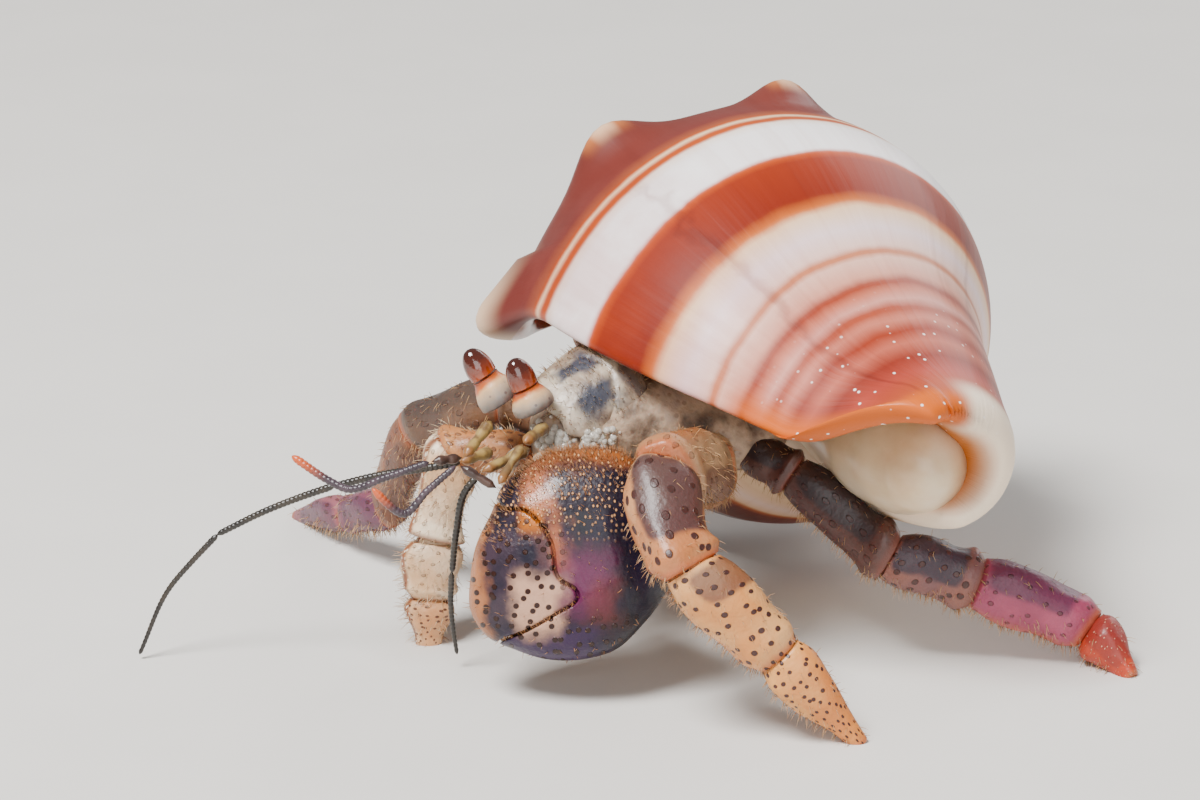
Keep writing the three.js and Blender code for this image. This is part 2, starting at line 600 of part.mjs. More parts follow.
const wrist = arms.find(({ name }) => name === 'claw_left_carpus');
const { palm, finger } = bigClaw(solid(wrist.geometry(JOINT_GAP)));
place('claw_left_palm', geometryOf(palm), 'claw');
place('claw_left_finger', geometryOf(finger), 'claw');
const smallClaw = limb({
  name: 'claw_right',
  lengths: ['palm', 'fingers'],
  joints: [SMALL_CLAW.wrist, SMALL_CLAW.fork, SMALL_CLAW.tip],
  dorsal: [[-0.6, -0.8, 0.2], [-0.6, -0.8, 0.2]],
  sizes: [SMALL_CLAW.palm, SMALL_CLAW.fingers],
  lifts: [0.2, 0],
  tip: SMALL_CLAW.ends,
});
smallClaw.forEach(({ name, geometry }) => place(name, geometry(), 'paleClaw'));

EYES.forEach(eye);
FEELERS.forEach((item) => place(item.name, feeler(item), 'feeler'));

MAXILLIPEDS.forEach((item) => place(item.name, feeler(item, 8, 2), 'skin'));

export default group;
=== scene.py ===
"""Looks of a life-size land hermit crab in a worn, knobbed sea-snail shell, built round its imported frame.

Sizes are in millimetres in the animal's own layout, whose middle is the midline of the head, and
`metres` brings them into the frame. Each sub-assembly is a class that holds its sizes, builds its
pieces and dresses them.
"""

import logging
import math
from dataclasses import dataclass
from enum import Enum
from typing import Callable, Optional, Sequence, Union

import bpy
import numpy as np
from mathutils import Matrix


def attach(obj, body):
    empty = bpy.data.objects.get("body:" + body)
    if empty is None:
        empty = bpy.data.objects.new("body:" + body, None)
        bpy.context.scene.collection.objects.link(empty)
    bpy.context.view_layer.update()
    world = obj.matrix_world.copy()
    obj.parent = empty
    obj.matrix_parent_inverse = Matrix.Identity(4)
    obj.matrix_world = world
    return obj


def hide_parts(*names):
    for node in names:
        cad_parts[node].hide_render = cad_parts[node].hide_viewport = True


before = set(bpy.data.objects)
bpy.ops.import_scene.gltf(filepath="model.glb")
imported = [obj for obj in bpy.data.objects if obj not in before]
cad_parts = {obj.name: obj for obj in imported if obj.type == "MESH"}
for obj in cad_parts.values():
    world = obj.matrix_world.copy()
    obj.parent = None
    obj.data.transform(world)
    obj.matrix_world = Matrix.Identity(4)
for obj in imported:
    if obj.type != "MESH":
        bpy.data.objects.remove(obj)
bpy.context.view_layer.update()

LOG = logging.getLogger("hermit_crab")
MM = 0.001
FRAME_SHIFT = np.array([4.8, -13.2, 0.0])
TURN = 2 * math.pi
Place = Callable[[np.ndarray, np.ndarray], np.ndarray]
Colour = tuple[float, float, float, float]


# ---------------------------------------------------------------- small tools
def metres(points: Sequence) -> np.ndarray:
    """Brings one layout point, or rows of them, from millimetres into the frame's metres."""
    return (np.asarray(points, float) + FRAME_SHIFT) * MM


def unit(vector: Sequence) -> np.ndarray:
    """Returns the vector, or each row of vectors, at length one."""
    vector = np.asarray(vector, float)
    return vector / np.maximum(np.linalg.norm(vector, axis=-1, keepdims=True), 1e-12)


def square_to(axis: np.ndarray, vector: Sequence) -> np.ndarray:
    """Returns the direction nearest a vector that is square to an axis, or to each row of axes."""
    vector = np.asarray(vector, float)
    return unit(vector - axis * np.sum(axis * vector, axis=-1, keepdims=True))


def smoothstep(low: float, high: float, value: np.ndarray) -> np.ndarray:
    """Returns a smooth rise from 0 at low to 1 at high."""
    share = np.clip((value - low) / (high - low), 0, 1)
    return share * share * (3 - 2 * share)


def quarter_round(distance: np.ndarray, reach: float) -> np.ndarray:
    """Returns a quarter circle's rise, from 0 at no distance to 1 at the reach."""
    return np.sqrt(np.maximum(0, 1 - (1 - np.minimum(distance, reach) / reach) ** 2))


def root_rise(value: np.ndarray, reach: Union[float, np.ndarray]) -> np.ndarray:
    """Returns the square root of a value's share of the reach, from 0 to 1."""
    return np.sqrt(np.clip(value / reach, 0, 1))


def smooth_through(knots: Sequence, values: Sequence, where: np.ndarray) -> np.ndarray:
    """Evaluates a smooth curve through given values.

    Args:
        knots: Rising places of the values.
        values: One row of numbers for each knot.
        where: Places to evaluate.

    Returns:
        One row for each place.
    """
    knots = np.asarray(knots, float)
    values = np.asarray(values, float)
    slopes = np.gradient(values, knots, axis=0)
    i = np.clip(np.searchsorted(knots, where, side="right") - 1, 0, len(knots) - 2)
    step = (knots[i + 1] - knots[i])[:, None]
    s = np.clip((where - knots[i])[:, None] / step, 0, 1)
    start = (2 * s**3 - 3 * s**2 + 1) * values[i] + (s**3 - 2 * s**2 + s) * step * slopes[i]
    end = (3 * s**2 - 2 * s**3) * values[i + 1] + (s**3 - s**2) * step * slopes[i + 1]
    return start + end


def heading(knots: Sequence, points: np.ndarray, where: np.ndarray) -> np.ndarray:
    """Returns the directions of the smooth curve through points, at the given places."""
    ahead = smooth_through(knots, points, np.minimum(where + 0.01, 1))
    return unit(ahead - smooth_through(knots, points, np.maximum(where - 0.01, 0)))


def lengths_along(points: np.ndarray) -> np.ndarray:
    """Measures the line through some points.

    Args:
        points: Rows of points.

    Returns:
        Each point's share of the line's whole length, from 0 to 1.
    """
    steps = np.linalg.norm(np.diff(points, axis=0), axis=1)
    total = np.concatenate([[0], np.cumsum(steps)])
    return total / total[-1]


def oval(middle: np.ndarray, sides: tuple, halves: tuple, turn: np.ndarray) -> np.ndarray:
    """Places points on ovals.

    Args:
        middle: The ovals' middle points.
        sides: Their two directions, of one vector or rows of vectors each.
        halves: Half the oval's size in each of the two directions.
        turn: The points' angles in radians, from the first direction to the second.

    Returns:
        Rows of points.
    """
    first = sides[0] * (halves[0] * np.cos(turn))[:, None]
    return middle + first + sides[1] * (halves[1] * np.sin(turn))[:, None]


def tone(hexadecimal: str) -> Colour:
    """Turns a colour written as rrggbb into a linear one.

    Args:
        hexadecimal: The colour's sRGB parts.

    Returns:
        Its linear red, green and blue, and full cover.
    """
    parts = [int(hexadecimal[i : i + 2], 16) / 255 for i in (0, 2, 4)]
    linear = [p / 12.92 if p <= 0.04045 else ((p + 0.055) / 1.055) ** 2.4 for p in parts]
    return (linear[0], linear[1], linear[2], 1.0)


# ---------------------------------------------------------------- mesh tools
def start_alone() -> None:
    """Deselects everything, so that the next operator acts on its own object only."""
    if bpy.context.object is not None and bpy.context.object.mode != "OBJECT":
        bpy.ops.object.mode_set(mode="OBJECT")
    bpy.ops.object.select_all(action="DESELECT")


def make_active(piece: bpy.types.Object) -> None:
    """Makes one object the only selected and active one."""
    start_alone()
    piece.select_set(True)
    bpy.context.view_layer.objects.active = piece


def join(pieces: Sequence[bpy.types.Object]) -> None:
    """Joins some pieces into the first of them.

    Args:
        pieces: The mesh objects.
    """
    make_active(pieces[0])
    for piece in pieces[1:]:
        piece.select_set(True)
    bpy.ops.object.join()


def edit_all(piece: bpy.types.Object, *steps: tuple) -> None:
    """Runs steps in edit mode, each on the whole piece.

    Args:
        piece: The mesh object.
        *steps: Pairs of an operator and its settings.
    """
    make_active(piece)
    bpy.ops.object.mode_set(mode="EDIT")
    for operator, settings in steps:
        bpy.ops.mesh.select_all(action="SELECT")
        operator(**settings)
    bpy.ops.object.mode_set(mode="OBJECT")


def read(items: Sequence, name: str, width: int = 1, kind: type = float) -> np.ndarray:
    """Reads one property of all of a mesh's vertices, faces, corners or map places.

    Args:
        items: The mesh's collection.
        name: The property.
        width: How many numbers it has.
        kind: Type of the numbers.

    Returns:
        One row for each item, or one number where the property is a single one.
    """
    flat = np.zeros(len(items) * width, kind)
    items.foreach_get(name, flat)
    return flat.reshape(-1, width) if width > 1 else flat


def write(items: Sequence, name: str, values: np.ndarray) -> None:
    """Sets one property of all of a mesh's vertices or map places."""
    items.foreach_set(name, values.astype(np.float32).ravel())


def wrapped_grid(
    name: str, around: int, along: int, place: Place, pattern: Optional[Place] = None
) -> bpy.types.Object:
    """Wraps a flat grid round a body and closes its seam and ends.

    Args:
        name: Name of the piece.
        around: Faces round the body.
        along: Faces along the body.
        place: Gives points in metres for shares round and along the body.
        pattern: Gives the two numbers of the pattern map, or None for the shares themselves.

    Returns:
        The closed piece.
    """
    merge = 2e-6
    start_alone()
    bpy.ops.mesh.primitive_grid_add(x_subdivisions=around, y_subdivisions=along, size=1)
    piece = bpy.context.object
    piece.name = name
    mesh = piece.data
    mesh.name = name
    u, v, _ = read(mesh.vertices, "co", 3).T + 0.5
    mesh.uv_layers[0].name = "Pattern"
    values = np.stack([u, v], axis=1) if pattern is None else pattern(u, v)
    corners = read(mesh.loops, "vertex_index", kind=int)
    write(mesh.uv_layers["Pattern"].data, "uv", values[corners])
    write(mesh.vertices, "co", place(u, v))
    mesh.update()
    edit_all(
        piece,
        (bpy.ops.mesh.remove_doubles, {"threshold": merge}),
        (bpy.ops.mesh.dissolve_degenerate, {"threshold": merge / 2}),
        (bpy.ops.mesh.normals_make_consistent, {"inside": False}),
    )
    return piece


def apply_modifier(piece: bpy.types.Object, kind: str, **settings: object) -> None:
    """Adds a modifier to a piece and applies it.

    Args:
        piece: The mesh object.
        kind: Blender's type of modifier.
        **settings: Values of the modifier.
    """
    modifier = piece.modifiers.new(kind.title(), kind)
    for key, value in settings.items():
        setattr(modifier, key, value)
    make_active(piece)
    bpy.ops.object.modifier_apply(modifier=modifier.name)


def cut(body: bpy.types.Object, tool: bpy.types.Object, operation: str) -> None:
    """Cuts a body with a tool, which is used up.

    Args:
        body: The mesh object that changes.
        tool: The other mesh object.
        operation: DIFFERENCE or INTERSECT.
    """
    settings = {"operation": operation, "solver": "MANIFOLD", "material_mode": "TRANSFER"}
    apply_modifier(body, "BOOLEAN", object=tool, **settings)
    bpy.data.objects.remove(tool)


def shade(piece: bpy.types.Object, degrees: float) -> None:
    """Shades a piece smooth, apart from edges sharper than the given angle."""
    make_active(piece)
    bpy.ops.object.shade_smooth_by_angle(angle=math.radians(degrees))


def finish_piece(
    piece: bpy.types.Object, material: Optional[bpy.types.Material], slot: str, *nodes: str
) -> bpy.types.Object:
    """Gives a piece its finish and its place in the frame, and reports it.

    Args:
        piece: The mesh object.
        material: Its material, or None where it has its own already.
        slot: Name of the piece's material slot; not used.
        *nodes: CAD nodes that the piece stands for.

    Returns:
        The same piece.
    """
    if material is not None:
        piece.data.materials.clear()
        piece.data.materials.append(material)
    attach(piece, "root")
    if nodes:
        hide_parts(*nodes)
    LOG.info("%s: %d faces", piece.name, len(piece.data.polygons))
    return piece


# ---------------------------------------------------------------- finishes
@dataclass(frozen=True)
class Wire:
    """One output among a material's nodes, which adds, subtracts and multiplies like a number."""

    graph: "Graph"
    socket: bpy.types.NodeSocket

    def __add__(self, other: "Number") -> "Wire":
        """Returns the sum of both."""
        return self.graph.math("ADD", self, other)

    def __sub__(self, other: "Number") -> "Wire":
        """Returns this one less the other."""
        return self.graph.math("SUBTRACT", self, other)

    def __mul__(self, other: "Number") -> "Wire":
        """Returns the product of both."""
        return self.graph.math("MULTIPLY", self, other)


Number = Union[Wire, float]
Paint = Union[Wire, Colour]


class Graph:
    """A material in the making: the nodes round its main shader and the colour painted so far."""

    def __init__(self, name: str, **sockets: float) -> None:
        """Starts a material.

        Args:
            name: Name of the material.
            **sockets: Constant values of the shader's sockets, with _ for each space.
        """
        self.material = bpy.data.materials.new(name)
        self.material.use_nodes = True
        self.tree = self.material.node_tree
        self.shader = self.tree.nodes["Principled BSDF"]
        self.colour: Paint = tone("808080")
        for key, value in sockets.items():
            self.shader.inputs[key.replace("_", " ")].default_value = value

    def feed(self, socket: bpy.types.NodeSocket, value: Union[Paint, float]) -> None:
        """Links a wire to a socket or sets its constant value.

        Args:
            socket: The input of a node.
            value: The wire or constant.
        """
        if isinstance(value, Wire):
            self.tree.links.new(value.socket, socket)
        else:
            socket.default_value = value

    def node(self, kind: str, inputs: dict, output: Union[int, str] = 0, **settings: object) -> Wire:
        """Adds a node.

        Args:
            kind: Blender's type of node.
            inputs: Wires or constant values for its inputs, by name or number.
            output: The output that is used, by name or number.
            **settings: Values of the node itself.

        Returns:
            The output.
        """
        made = self.tree.nodes.new(kind)
        for key, value in settings.items():
            setattr(made, key, value)
        for key, value in inputs.items():
            self.feed(made.inputs[key], value)
        return Wire(self, made.outputs[output])

    def place(self) -> Wire:
        """Returns the object's own coordinates."""
        return self.node("ShaderNodeTexCoord", {}, "Object")

    def pattern(self) -> tuple[Wire, Wire]:
        """Returns the two numbers of the piece's pattern map."""
        first = self.node("ShaderNodeSeparateXYZ", {0: self.node("ShaderNodeUVMap", {}, uv_map="Pattern")})
        return first, Wire(self, first.socket.node.outputs[1])

    def noise(self, scale: float, detail: float = 3, vector: Optional[Wire] = None) -> Wire:
        """Returns soft noise with the given cells per metre, or per unit of a vector."""
        inputs = {"Vector": vector or self.place(), "Scale": scale, "Detail": detail}
        return self.node("ShaderNodeTexNoise", inputs)

    def cells(self, scale: float) -> Wire:
        """Returns the distance from scattered points, with the given cells per metre."""
        return self.node("ShaderNodeTexVoronoi", {"Vector": self.place(), "Scale": scale}, "Distance")

    def flat_cells(self, x: Number, y: Number, randomness: float = 0.75) -> Wire:
        """Scatters points over a plane, one for each unit square.

        Args:
            x: First place, in spacings of the points.
            y: Second place, in spacings of the points.
            randomness: From 0 for a square grid to 1 for free scatter.

        Returns:
            The distance to the nearest point.
        """
        spot = self.node("ShaderNodeCombineXYZ", {0: x, 1: y})
        inputs = {"Vector": spot, "Scale": 1.0, "Randomness": randomness}
        return self.node("ShaderNodeTexVoronoi", inputs, "Distance", voronoi_dimensions="2D")

    def math(self, operation: str, a: Number, b: Number = 0.5, c: Number = 0.5) -> Wire:
        """Returns a sum, product or other function of its inputs."""
        return self.node("ShaderNodeMath", {0: a, 1: b, 2: c}, operation=operation)

    def scaled(self, value: Wire, factor: float, shift: Number) -> Wire:
        """Returns a value times a factor, plus a shift."""
        return self.math("MULTIPLY_ADD", value, factor, shift)

    def most(self, a: Wire, b: Wire) -> Wire:
        """Returns the greater of two values."""
        return self.math("MAXIMUM", a, b)

    def rise(self, value: Wire, low: float, high: float) -> Wire:
        """Returns a smooth rise from 0 at low to 1 at high, or a fall where low is the greater."""
        start, end = (0.0, 1.0) if low < high else (1.0, 0.0)
        inputs = {"Value": value, 1: min(low, high), 2: max(low, high), 3: start, 4: end}
        return self.node("ShaderNodeMapRange", inputs, interpolation_type="SMOOTHSTEP")

    def band(self, value: Wire, low: float, high: float, soft: float) -> Wire:
        """Returns 1 between low and high and 0 outside, with soft edges."""
        return self.rise(value, low - soft, low + soft) * self.rise(value, high + soft, high - soft)

    def mix(self, share: Number, a: Paint, b: Paint, blend: str = "MIX") -> Wire:
        """Returns two colours mixed by a share."""
        return self.node("ShaderNodeMix", {0: share, 6: a, 7: b}, 2, data_type="RGBA", blend_type=blend)

    def mottle(self, value: Wire, low: float, high: float, first: str, second: str) -> None:
        """Starts the colour with one tone, and another where a value rises from low to high."""
        self.colour = self.mix(self.rise(value, low, high), tone(first), tone(second))

    def paint(self, share: Wire, over: Union[str, Wire], blend: str = "MIX") -> None:
        """Lays another colour over a share of the colour so far."""
        self.colour = self.mix(share, self.colour, tone(over) if isinstance(over, str) else over, blend)

    def ramp(self, value: Wire, *stops: tuple[float, str]) -> None:
        """Starts the colour with tones that change along a value.

        Args:
            value: The value.
            *stops: Pairs of a place and a tone, written as rrggbb.
        """
        self.colour = self.node("ShaderNodeValToRGB", {0: value})
        elements = self.colour.socket.node.color_ramp.elements
        while len(elements) < len(stops):
            elements.new(0.5)
        for element, (position, colour) in zip(elements, stops):
            element.position = position
            element.color = tone(colour)

    def finish(self, height: Optional[Wire] = None, depth: float = 0.0001) -> bpy.types.Material:
        """Links the colour and the fine relief to the shader.

        Args:
            height: Height of the relief, or None for a smooth surface.
            depth: Its depth in metres.

        Returns:
            The material.
        """
        self.feed(self.shader.inputs["Base Color"], self.colour)
        if height is not None:
            bump = self.node("ShaderNodeBump", {"Height": height, "Distance": depth, "Strength": 1.0})
            self.feed(self.shader.inputs["Normal"], bump)
        return self.material


class Side(Enum):
    """The two sides of the animal."""

    LEFT = "left"
    RIGHT = "right"


@dataclass(frozen=True)
class ShellFinish:
    """Glossy worn shell with bands that follow the whorl; the map is (turns, height on the outline)."""

    turns: float
    first_knob: float
    knob_spacing: float
    roughness: float = 0.45
    coat: float = 0.1
    unit_height: float = 62.0
    # Bands of the last whorl from the shoulder to the front end: height on the outline, colour.
    bands: tuple = (
        (9.0, "80463a"), (18.0, "6c3028"), (23.0, "722e26"), (24.7, "94482a"), (25.3, "b0480e"),
        (25.9, "efcda4"), (26.7, "b0440e"), (27.5, "b65014"), (28.1, "f3e0d0"), (29.5, "f8f2f0"),
        (34.3, "f6efee"), (34.9, "b8480e"), (35.8, "8c2a08"), (40.4, "7c2006"), (41.6, "c0601e"),
        (42.4, "ecc49c"), (44.5, "ebd0d0"), (46.4, "e8bfb0"), (47.1, "b65a1c"), (47.7, "e2b09c"),
        (49.2, "d2907a"), (50.0, "8c2a0a"), (50.8, "c06a50"), (51.6, "d08c7c"), (52.4, "98340f"),
        (53.2, "c4705a"), (54.2, "8e2c10"), (55.2, "b85c46"), (56.4, "862a18"), (57.8, "a84030"),
        (61.5, "b4541c"),
    )

    def outside(self) -> bpy.types.Material:
        """Makes the banded outer layer.

        Returns:
            Its material.
        """
        gloss = {"Coat_Weight": self.coat, "Coat_Roughness": 0.15, "Specular_IOR_Level": 0.25}
        g = Graph("shell_outside", Roughness=self.roughness, **gloss)
        turns, height = g.pattern()

        def level(low: float, high: float) -> Wire:
            """Returns a smooth rise between two heights in millimetres."""
            return g.rise(height, low / self.unit_height, high / self.unit_height)

        wobble = g.scaled(g.noise(260, 4), 0.012, -0.006)
        g.ramp(height + wobble, *((z / self.unit_height, colour) for z, colour in self.bands))
        # The growth lines run from the suture to the front end and tint the bands a little.
        growth = g.noise(1.0, 5, g.node("ShaderNodeCombineXYZ", {0: turns * 420.0, 1: height * 3.0}))
        g.paint(g.rise(growth, 0.42, 0.8) * 0.2, "c89880", "MULTIPLY")
        # Towards the lip the bands turn mauve, and the knobs' tips are worn to orange and cream.
        patches = g.noise(150, 5)
        near_lip = g.rise(turns, 0.945, 0.99) * g.rise(patches, 0.25, 0.6)
        g.paint(near_lip * 0.45, "c98a86", "MULTIPLY")
        degrees = g.scaled(turns, self.turns * 360.0, -self.turns * 360.0 - self.first_knob)
        beat = g.math("COSINE", degrees * (TURN / self.knob_spacing))
        on_knob = g.band(height, 14.6 / self.unit_height, 17.6 / self.unit_height, 0.02)
        g.paint(g.rise(beat, 0.62, 0.95) * on_knob * 0.85, "d07a3c")
        lip_tip = g.rise(turns, 0.985, 0.998) * level(20.5, 17.0)
        g.paint(g.most(g.rise(beat, 0.9, 1.0) * on_knob, lip_tip) * 0.85, "ecc8a2")
        # Two growth steps, where the snail rested, cross the bands.
        for place in (0.9725, 0.905):
            step = g.band(turns + wobble, place, place + 0.0012, 0.0016) * g.rise(height, 0.4, 0.5)
            g.paint(step * 0.5, "8c4a38", "MULTIPLY")
        # The front of the lip has an orange edge. On the older turn the wall below is painted dark brown as
        # painted shade, where it lies in shade under the body, and its front end is worn to cream.
        g.paint(g.rise(turns, 0.990, 0.9985) * level(46, 53), "c85c0c")
        g.paint(g.band(turns, 0.72, 0.8, 0.03) * g.band(height, 0.1, 0.66, 0.05) * 0.9, "4e281a")
        g.paint(g.rise(turns, 0.87, 0.82) * g.rise(height, 0.66, 0.78), "e6c39c")
        # The canal's rim is cream, then orange towards the lip, and tan down its funnel.
        g.paint(level(58.6, 60.4) * g.rise(turns, 0.955, 0.93), "f4dfc6")
        g.paint(level(59.6, 60.8) * g.rise(turns, 0.93, 0.955), "c85c0c")
        g.paint(level(62.1, 63.2), "bc6a22")
        # Painted highlights: small near-white specks on the front end stand for glints on the glossy surface.
        painted_glints = g.rise(g.cells(900), 0.16, 0.08)
        g.paint(painted_glints * (level(50, 56) * g.rise(turns, 0.9, 0.94)), "fff4ea")
        return g.finish(g.scaled(growth, 0.6, patches * 0.4), 0.00012)

    def inside(self) -> bpy.types.Material:
        """Makes the smooth inner layer, brown with a tan front end; its brown is partly the shell's own
        colour and partly painted shade of the hollow.

        Returns:
            Its material.
        """
        g = Graph("shell_inside", Roughness=0.28, Coat_Weight=0.3, Coat_Roughness=0.1, Subsurface_Weight=0.08)
        height = g.math("MODULO", g.pattern()[1], 2.0)
        # The deep part is mottled dark brown, partly as painted shade of the hollow, and it lightens to tan
        # towards the front end.
        g.mottle(g.noise(150, 4), 0.4, 0.7, "6a3a22", "854c2c")
        g.paint(g.rise(height, 0.62, 0.8), "d8a878")
        g.paint(g.rise(height, 0.86, 0.99), "e0a468")
        return g.finish(g.noise(500, 4), 0.00005)

    def pillar(self) -> bpy.types.Material:
        """Makes the cream columella, mottled towards tan, which is partly painted shade of its down-facing
        side.

        Returns:
            Its material.
        """
        gloss = {"Coat_Weight": 0.3, "Coat_Roughness": 0.15, "Subsurface_Weight": 0.08}
        g = Graph("shell_pillar", Roughness=0.32, **gloss)
        # The tan patches in the cream are partly painted shade.
        g.ramp(g.noise(110, 5), (0.3, "ecdac2"), (0.5, "dfc09a"), (0.75, "ba8a60"))
        return g.finish(g.noise(600, 4), 0.00006)


# ---------------------------------------------------------------- the shell
@dataclass
class SnailShell:
    """A spiral whorl about an axis from the apex, with knobs on its shoulder and a hollow last turn."""

    apex: tuple = (-27.8, 38.0, 20.6)
    axis: tuple = (0.970, -0.244, -0.016)
    lip: tuple = (-0.228, -0.925, 0.305)
    growth: float = 1.89
    turns: float = 3.5
    wall: float = 1.25
    rim_height: float = 60.6
    rim_swell: float = 0.7
    # The lip's bulge at the shoulder and recess at the canal in degrees, and its rounded corner.
    lip_bulge: float = 12.0
    lip_recess: float = 30.0
    lip_corner: float = 0.17
    # Heights between which the wall turns into the canal, and how much faster that shrinks and how
    # much less it draws back than the whorl.
    canal: tuple = (46.0, 59.0)
    canal_shrinking: float = 0.35
    canal_holding: float = 0.75
    # Older turns are covered by the next whorl above this height.
    suture: float = 17.5
    # Knobs: the first one's angle, degrees from one to the next, and each one's height, half its
    # width along the axis and half its spread round it, for the old ones and the one at the lip.
    first_knob: float = 6.0
    knob_spacing: float = 43.5
    shoulder: float = 16.4
    old_knob: tuple = (3.1, 2.8, 9.0)
    lip_knob: tuple = (3.9, 4.4, 17.0)
    # Points read off the outline, faces along the wall, points down its funnel, and how many
    # directions are evened out together.
    samples: int = 90
    across: int = 80
    deep: int = 22
    evening: int = 9
    # Radius and height at the lip, of the wall, of the funnel on its front end, and of the pillar.
    outline: tuple = (
        (13.2, 9.0), (18.5, 12.0), (22.6, 14.3), (24.3, 16.4), (25.3, 20.5), (25.9, 26.0), (25.6, 31.0),
        (24.4, 35.2), (21.4, 41.5), (17.7, 47.1), (14.2, 53.0), (10.8, 58.0), (8.7, 61.5),
    )
    funnel: tuple = ((8.7, 61.5), (7.2, 62.0), (5.6, 58.6), (4.2, 53.0))
    pillar: tuple = (
        (0.0, 0.75), (1.1, 0.95), (2.1, 1.7), (1.7, 3.2), (1.8, 7.0), (4.2, 13.0), (4.9, 30.0),
        (5.4, 42.0), (5.6, 47.0), (5.0, 52.0), (3.6, 55.2), (1.6, 56.8), (0.0, 57.2),
    )

    def __post_init__(self) -> None:
        """Works out the three directions of the spiral, and the shell's finish."""
        self.along = unit(self.axis)
        self.outwards = square_to(self.along, self.lip)
        self.onwards = np.cross(self.along, self.outwards)
        self.finish = ShellFinish(self.turns, self.first_knob, self.knob_spacing)

    def ring(self, radius: np.ndarray, height: np.ndarray, turn: np.ndarray) -> np.ndarray:
        """Places points about the shell's axis.

        Args:
            radius: Distance from the axis.
            height: Distance from the apex.
            turn: Angle about the axis in radians.

        Returns:
            Points in metres, in the frame.
        """
        middle = np.asarray(self.apex) + self.along * height[:, None]
        return metres(oval(middle, (self.outwards, self.onwards), (radius, radius), turn))

    def point(self, angle: np.ndarray, radius: np.ndarray, height: np.ndarray) -> np.ndarray:
        """Places points of the spiral.

        Args:
            angle: Angle about the axis in radians, 0 at the lip and less behind it.
            radius: Distance from the axis at the lip.
            height: Distance from the apex at the lip.

        Returns:
            Points in metres, in the frame.
        """
        turns = angle / TURN
        degrees = np.degrees(angle)
        # The canal shrinks faster behind the lip, and draws back less along the axis.
        canal = smoothstep(*self.canal, height) * smoothstep(-340, -220, degrees)
        side = radius * self.growth ** (turns * (1 + self.canal_shrinking * canal))
        up = height * self.growth ** (turns * (1 - self.canal_holding * canal))
        # The lip stands forward at the shoulder and is set back at the canal.
        shoulder = np.exp(-(((height - 15) / 6.5) ** 2))
        bulge = self.lip_bulge * smoothstep(-40, 0, degrees) * shoulder
        recess = self.lip_recess * smoothstep(-100, 0, degrees) * smoothstep(54, 62.5, height)
        return self.ring(side, up, angle + np.radians(bulge - recess))

    def knob(self, degrees: float, height: np.ndarray) -> np.ndarray:
        """Works out how far the knobs stand out of the wall.

        Args:
            degrees: Angle behind the lip, below 0.
            height: Distances from the apex, on the outline.

        Returns:
            The rise of the wall in millimetres.
        """
        count = round((self.first_knob - degrees) / self.knob_spacing)
        off = degrees - (self.first_knob - count * self.knob_spacing)
        tall, wide, spread = self.lip_knob if count == 0 else self.old_knob
        return tall * math.exp(-((off / spread) ** 2)) * np.exp(-(((height - self.shoulder) / wide) ** 2))

    def middle_line(self, degrees: float) -> tuple[np.ndarray, np.ndarray]:
        """Works out the middle of the wall at one angle.

        Args:
            degrees: Angle behind the lip, 0 or below.

        Returns:
            Rows of radius and height, and the height of each row on the unrolled outline.
        """
        outline = np.array(self.outline)
        # The lip's front corner is rounded off.
        kept = 1 - self.lip_corner * (1 - quarter_round(-degrees, 30))
        curve = smooth_through(lengths_along(outline), outline, np.linspace(0, 1, self.samples) * kept)
        # Behind the open canal the wall's front end turns inwards, like a funnel, on to the pillar.
        shut = smoothstep(-40, -110, degrees)
        funnel = smooth_through([0, 0.3, 0.65, 1], self.funnel, np.linspace(0.04, 1, self.deep))
        middle = np.vstack([curve, curve[-1] + (funnel - curve[-1]) * shut])
        further = 0.12 * shut * np.arange(1, self.deep + 1)
        unrolled = np.concatenate([curve[:, 1], outline[-1, 1] + further])
        even = np.linspace(0, 1, self.across)
        reach = lengths_along(middle)
        columns = [np.interp(even, reach, column) for column in (*middle.T, unrolled)]
        return np.stack(columns[:2], axis=1), columns[2]

    def section(self, degrees: float) -> np.ndarray:
        """Works out the section of the wall at one angle.

        Args:
            degrees: Angle behind the lip, 0 or below.

        Returns:
            Rows of radius, height, and height on the unrolled outline, round the wall.
        """
        middle, unrolled = self.middle_line(degrees)
        # The wall's directions are evened out, so that its thick rim doesn't crease.
        ahead = unit(np.gradient(middle, axis=0))
        window = np.ones(self.evening) / self.evening
        padded = np.pad(ahead, ((self.evening // 2, self.evening // 2), (0, 0)), mode="edge")
        ahead = unit(np.stack([np.convolve(column, window, mode="valid") for column in padded.T], axis=1))
        outward = np.stack([ahead[:, 1], -ahead[:, 0]], axis=1)
        # The wall thickens at the canal's rim and ends in a half round at the lip.
        rim = np.exp(-(((unrolled - self.rim_height) / 2.4) ** 2))
        half = (self.wall / 2 + self.rim_swell * rim) * quarter_round(-degrees, 2.2)
        # Older knobs are hollow behind; the one at the lip is a solid bead, swollen inwards as well.
        at_lip = smoothstep(-26, -16, degrees)
        lean = np.array([1.0, -0.25 - 0.45 * at_lip])
        knob = self.knob(degrees, middle[:, 1])[:, None] * lean * quarter_round(-degrees, 6.5)
        outer = middle + outward * half[:, None] + knob
        inner = middle - outward * half[:, None] + (0.5 - 0.85 * at_lip) * knob
        turn = np.linspace(0, math.pi, 12)[1:-1, None]
        cap = middle[-1] + half[-1] * (np.cos(turn) * outward[-1] + np.sin(turn) * ahead[-1])
        # The inner side's heights are two whole heights further on the map.
        within = unrolled[::-1] + 2 * self.finish.unit_height
        flat = np.concatenate([unrolled, np.full(len(cap), unrolled[-1]), within])
        return np.column_stack([np.vstack([outer, cap, inner[::-1]]), flat])

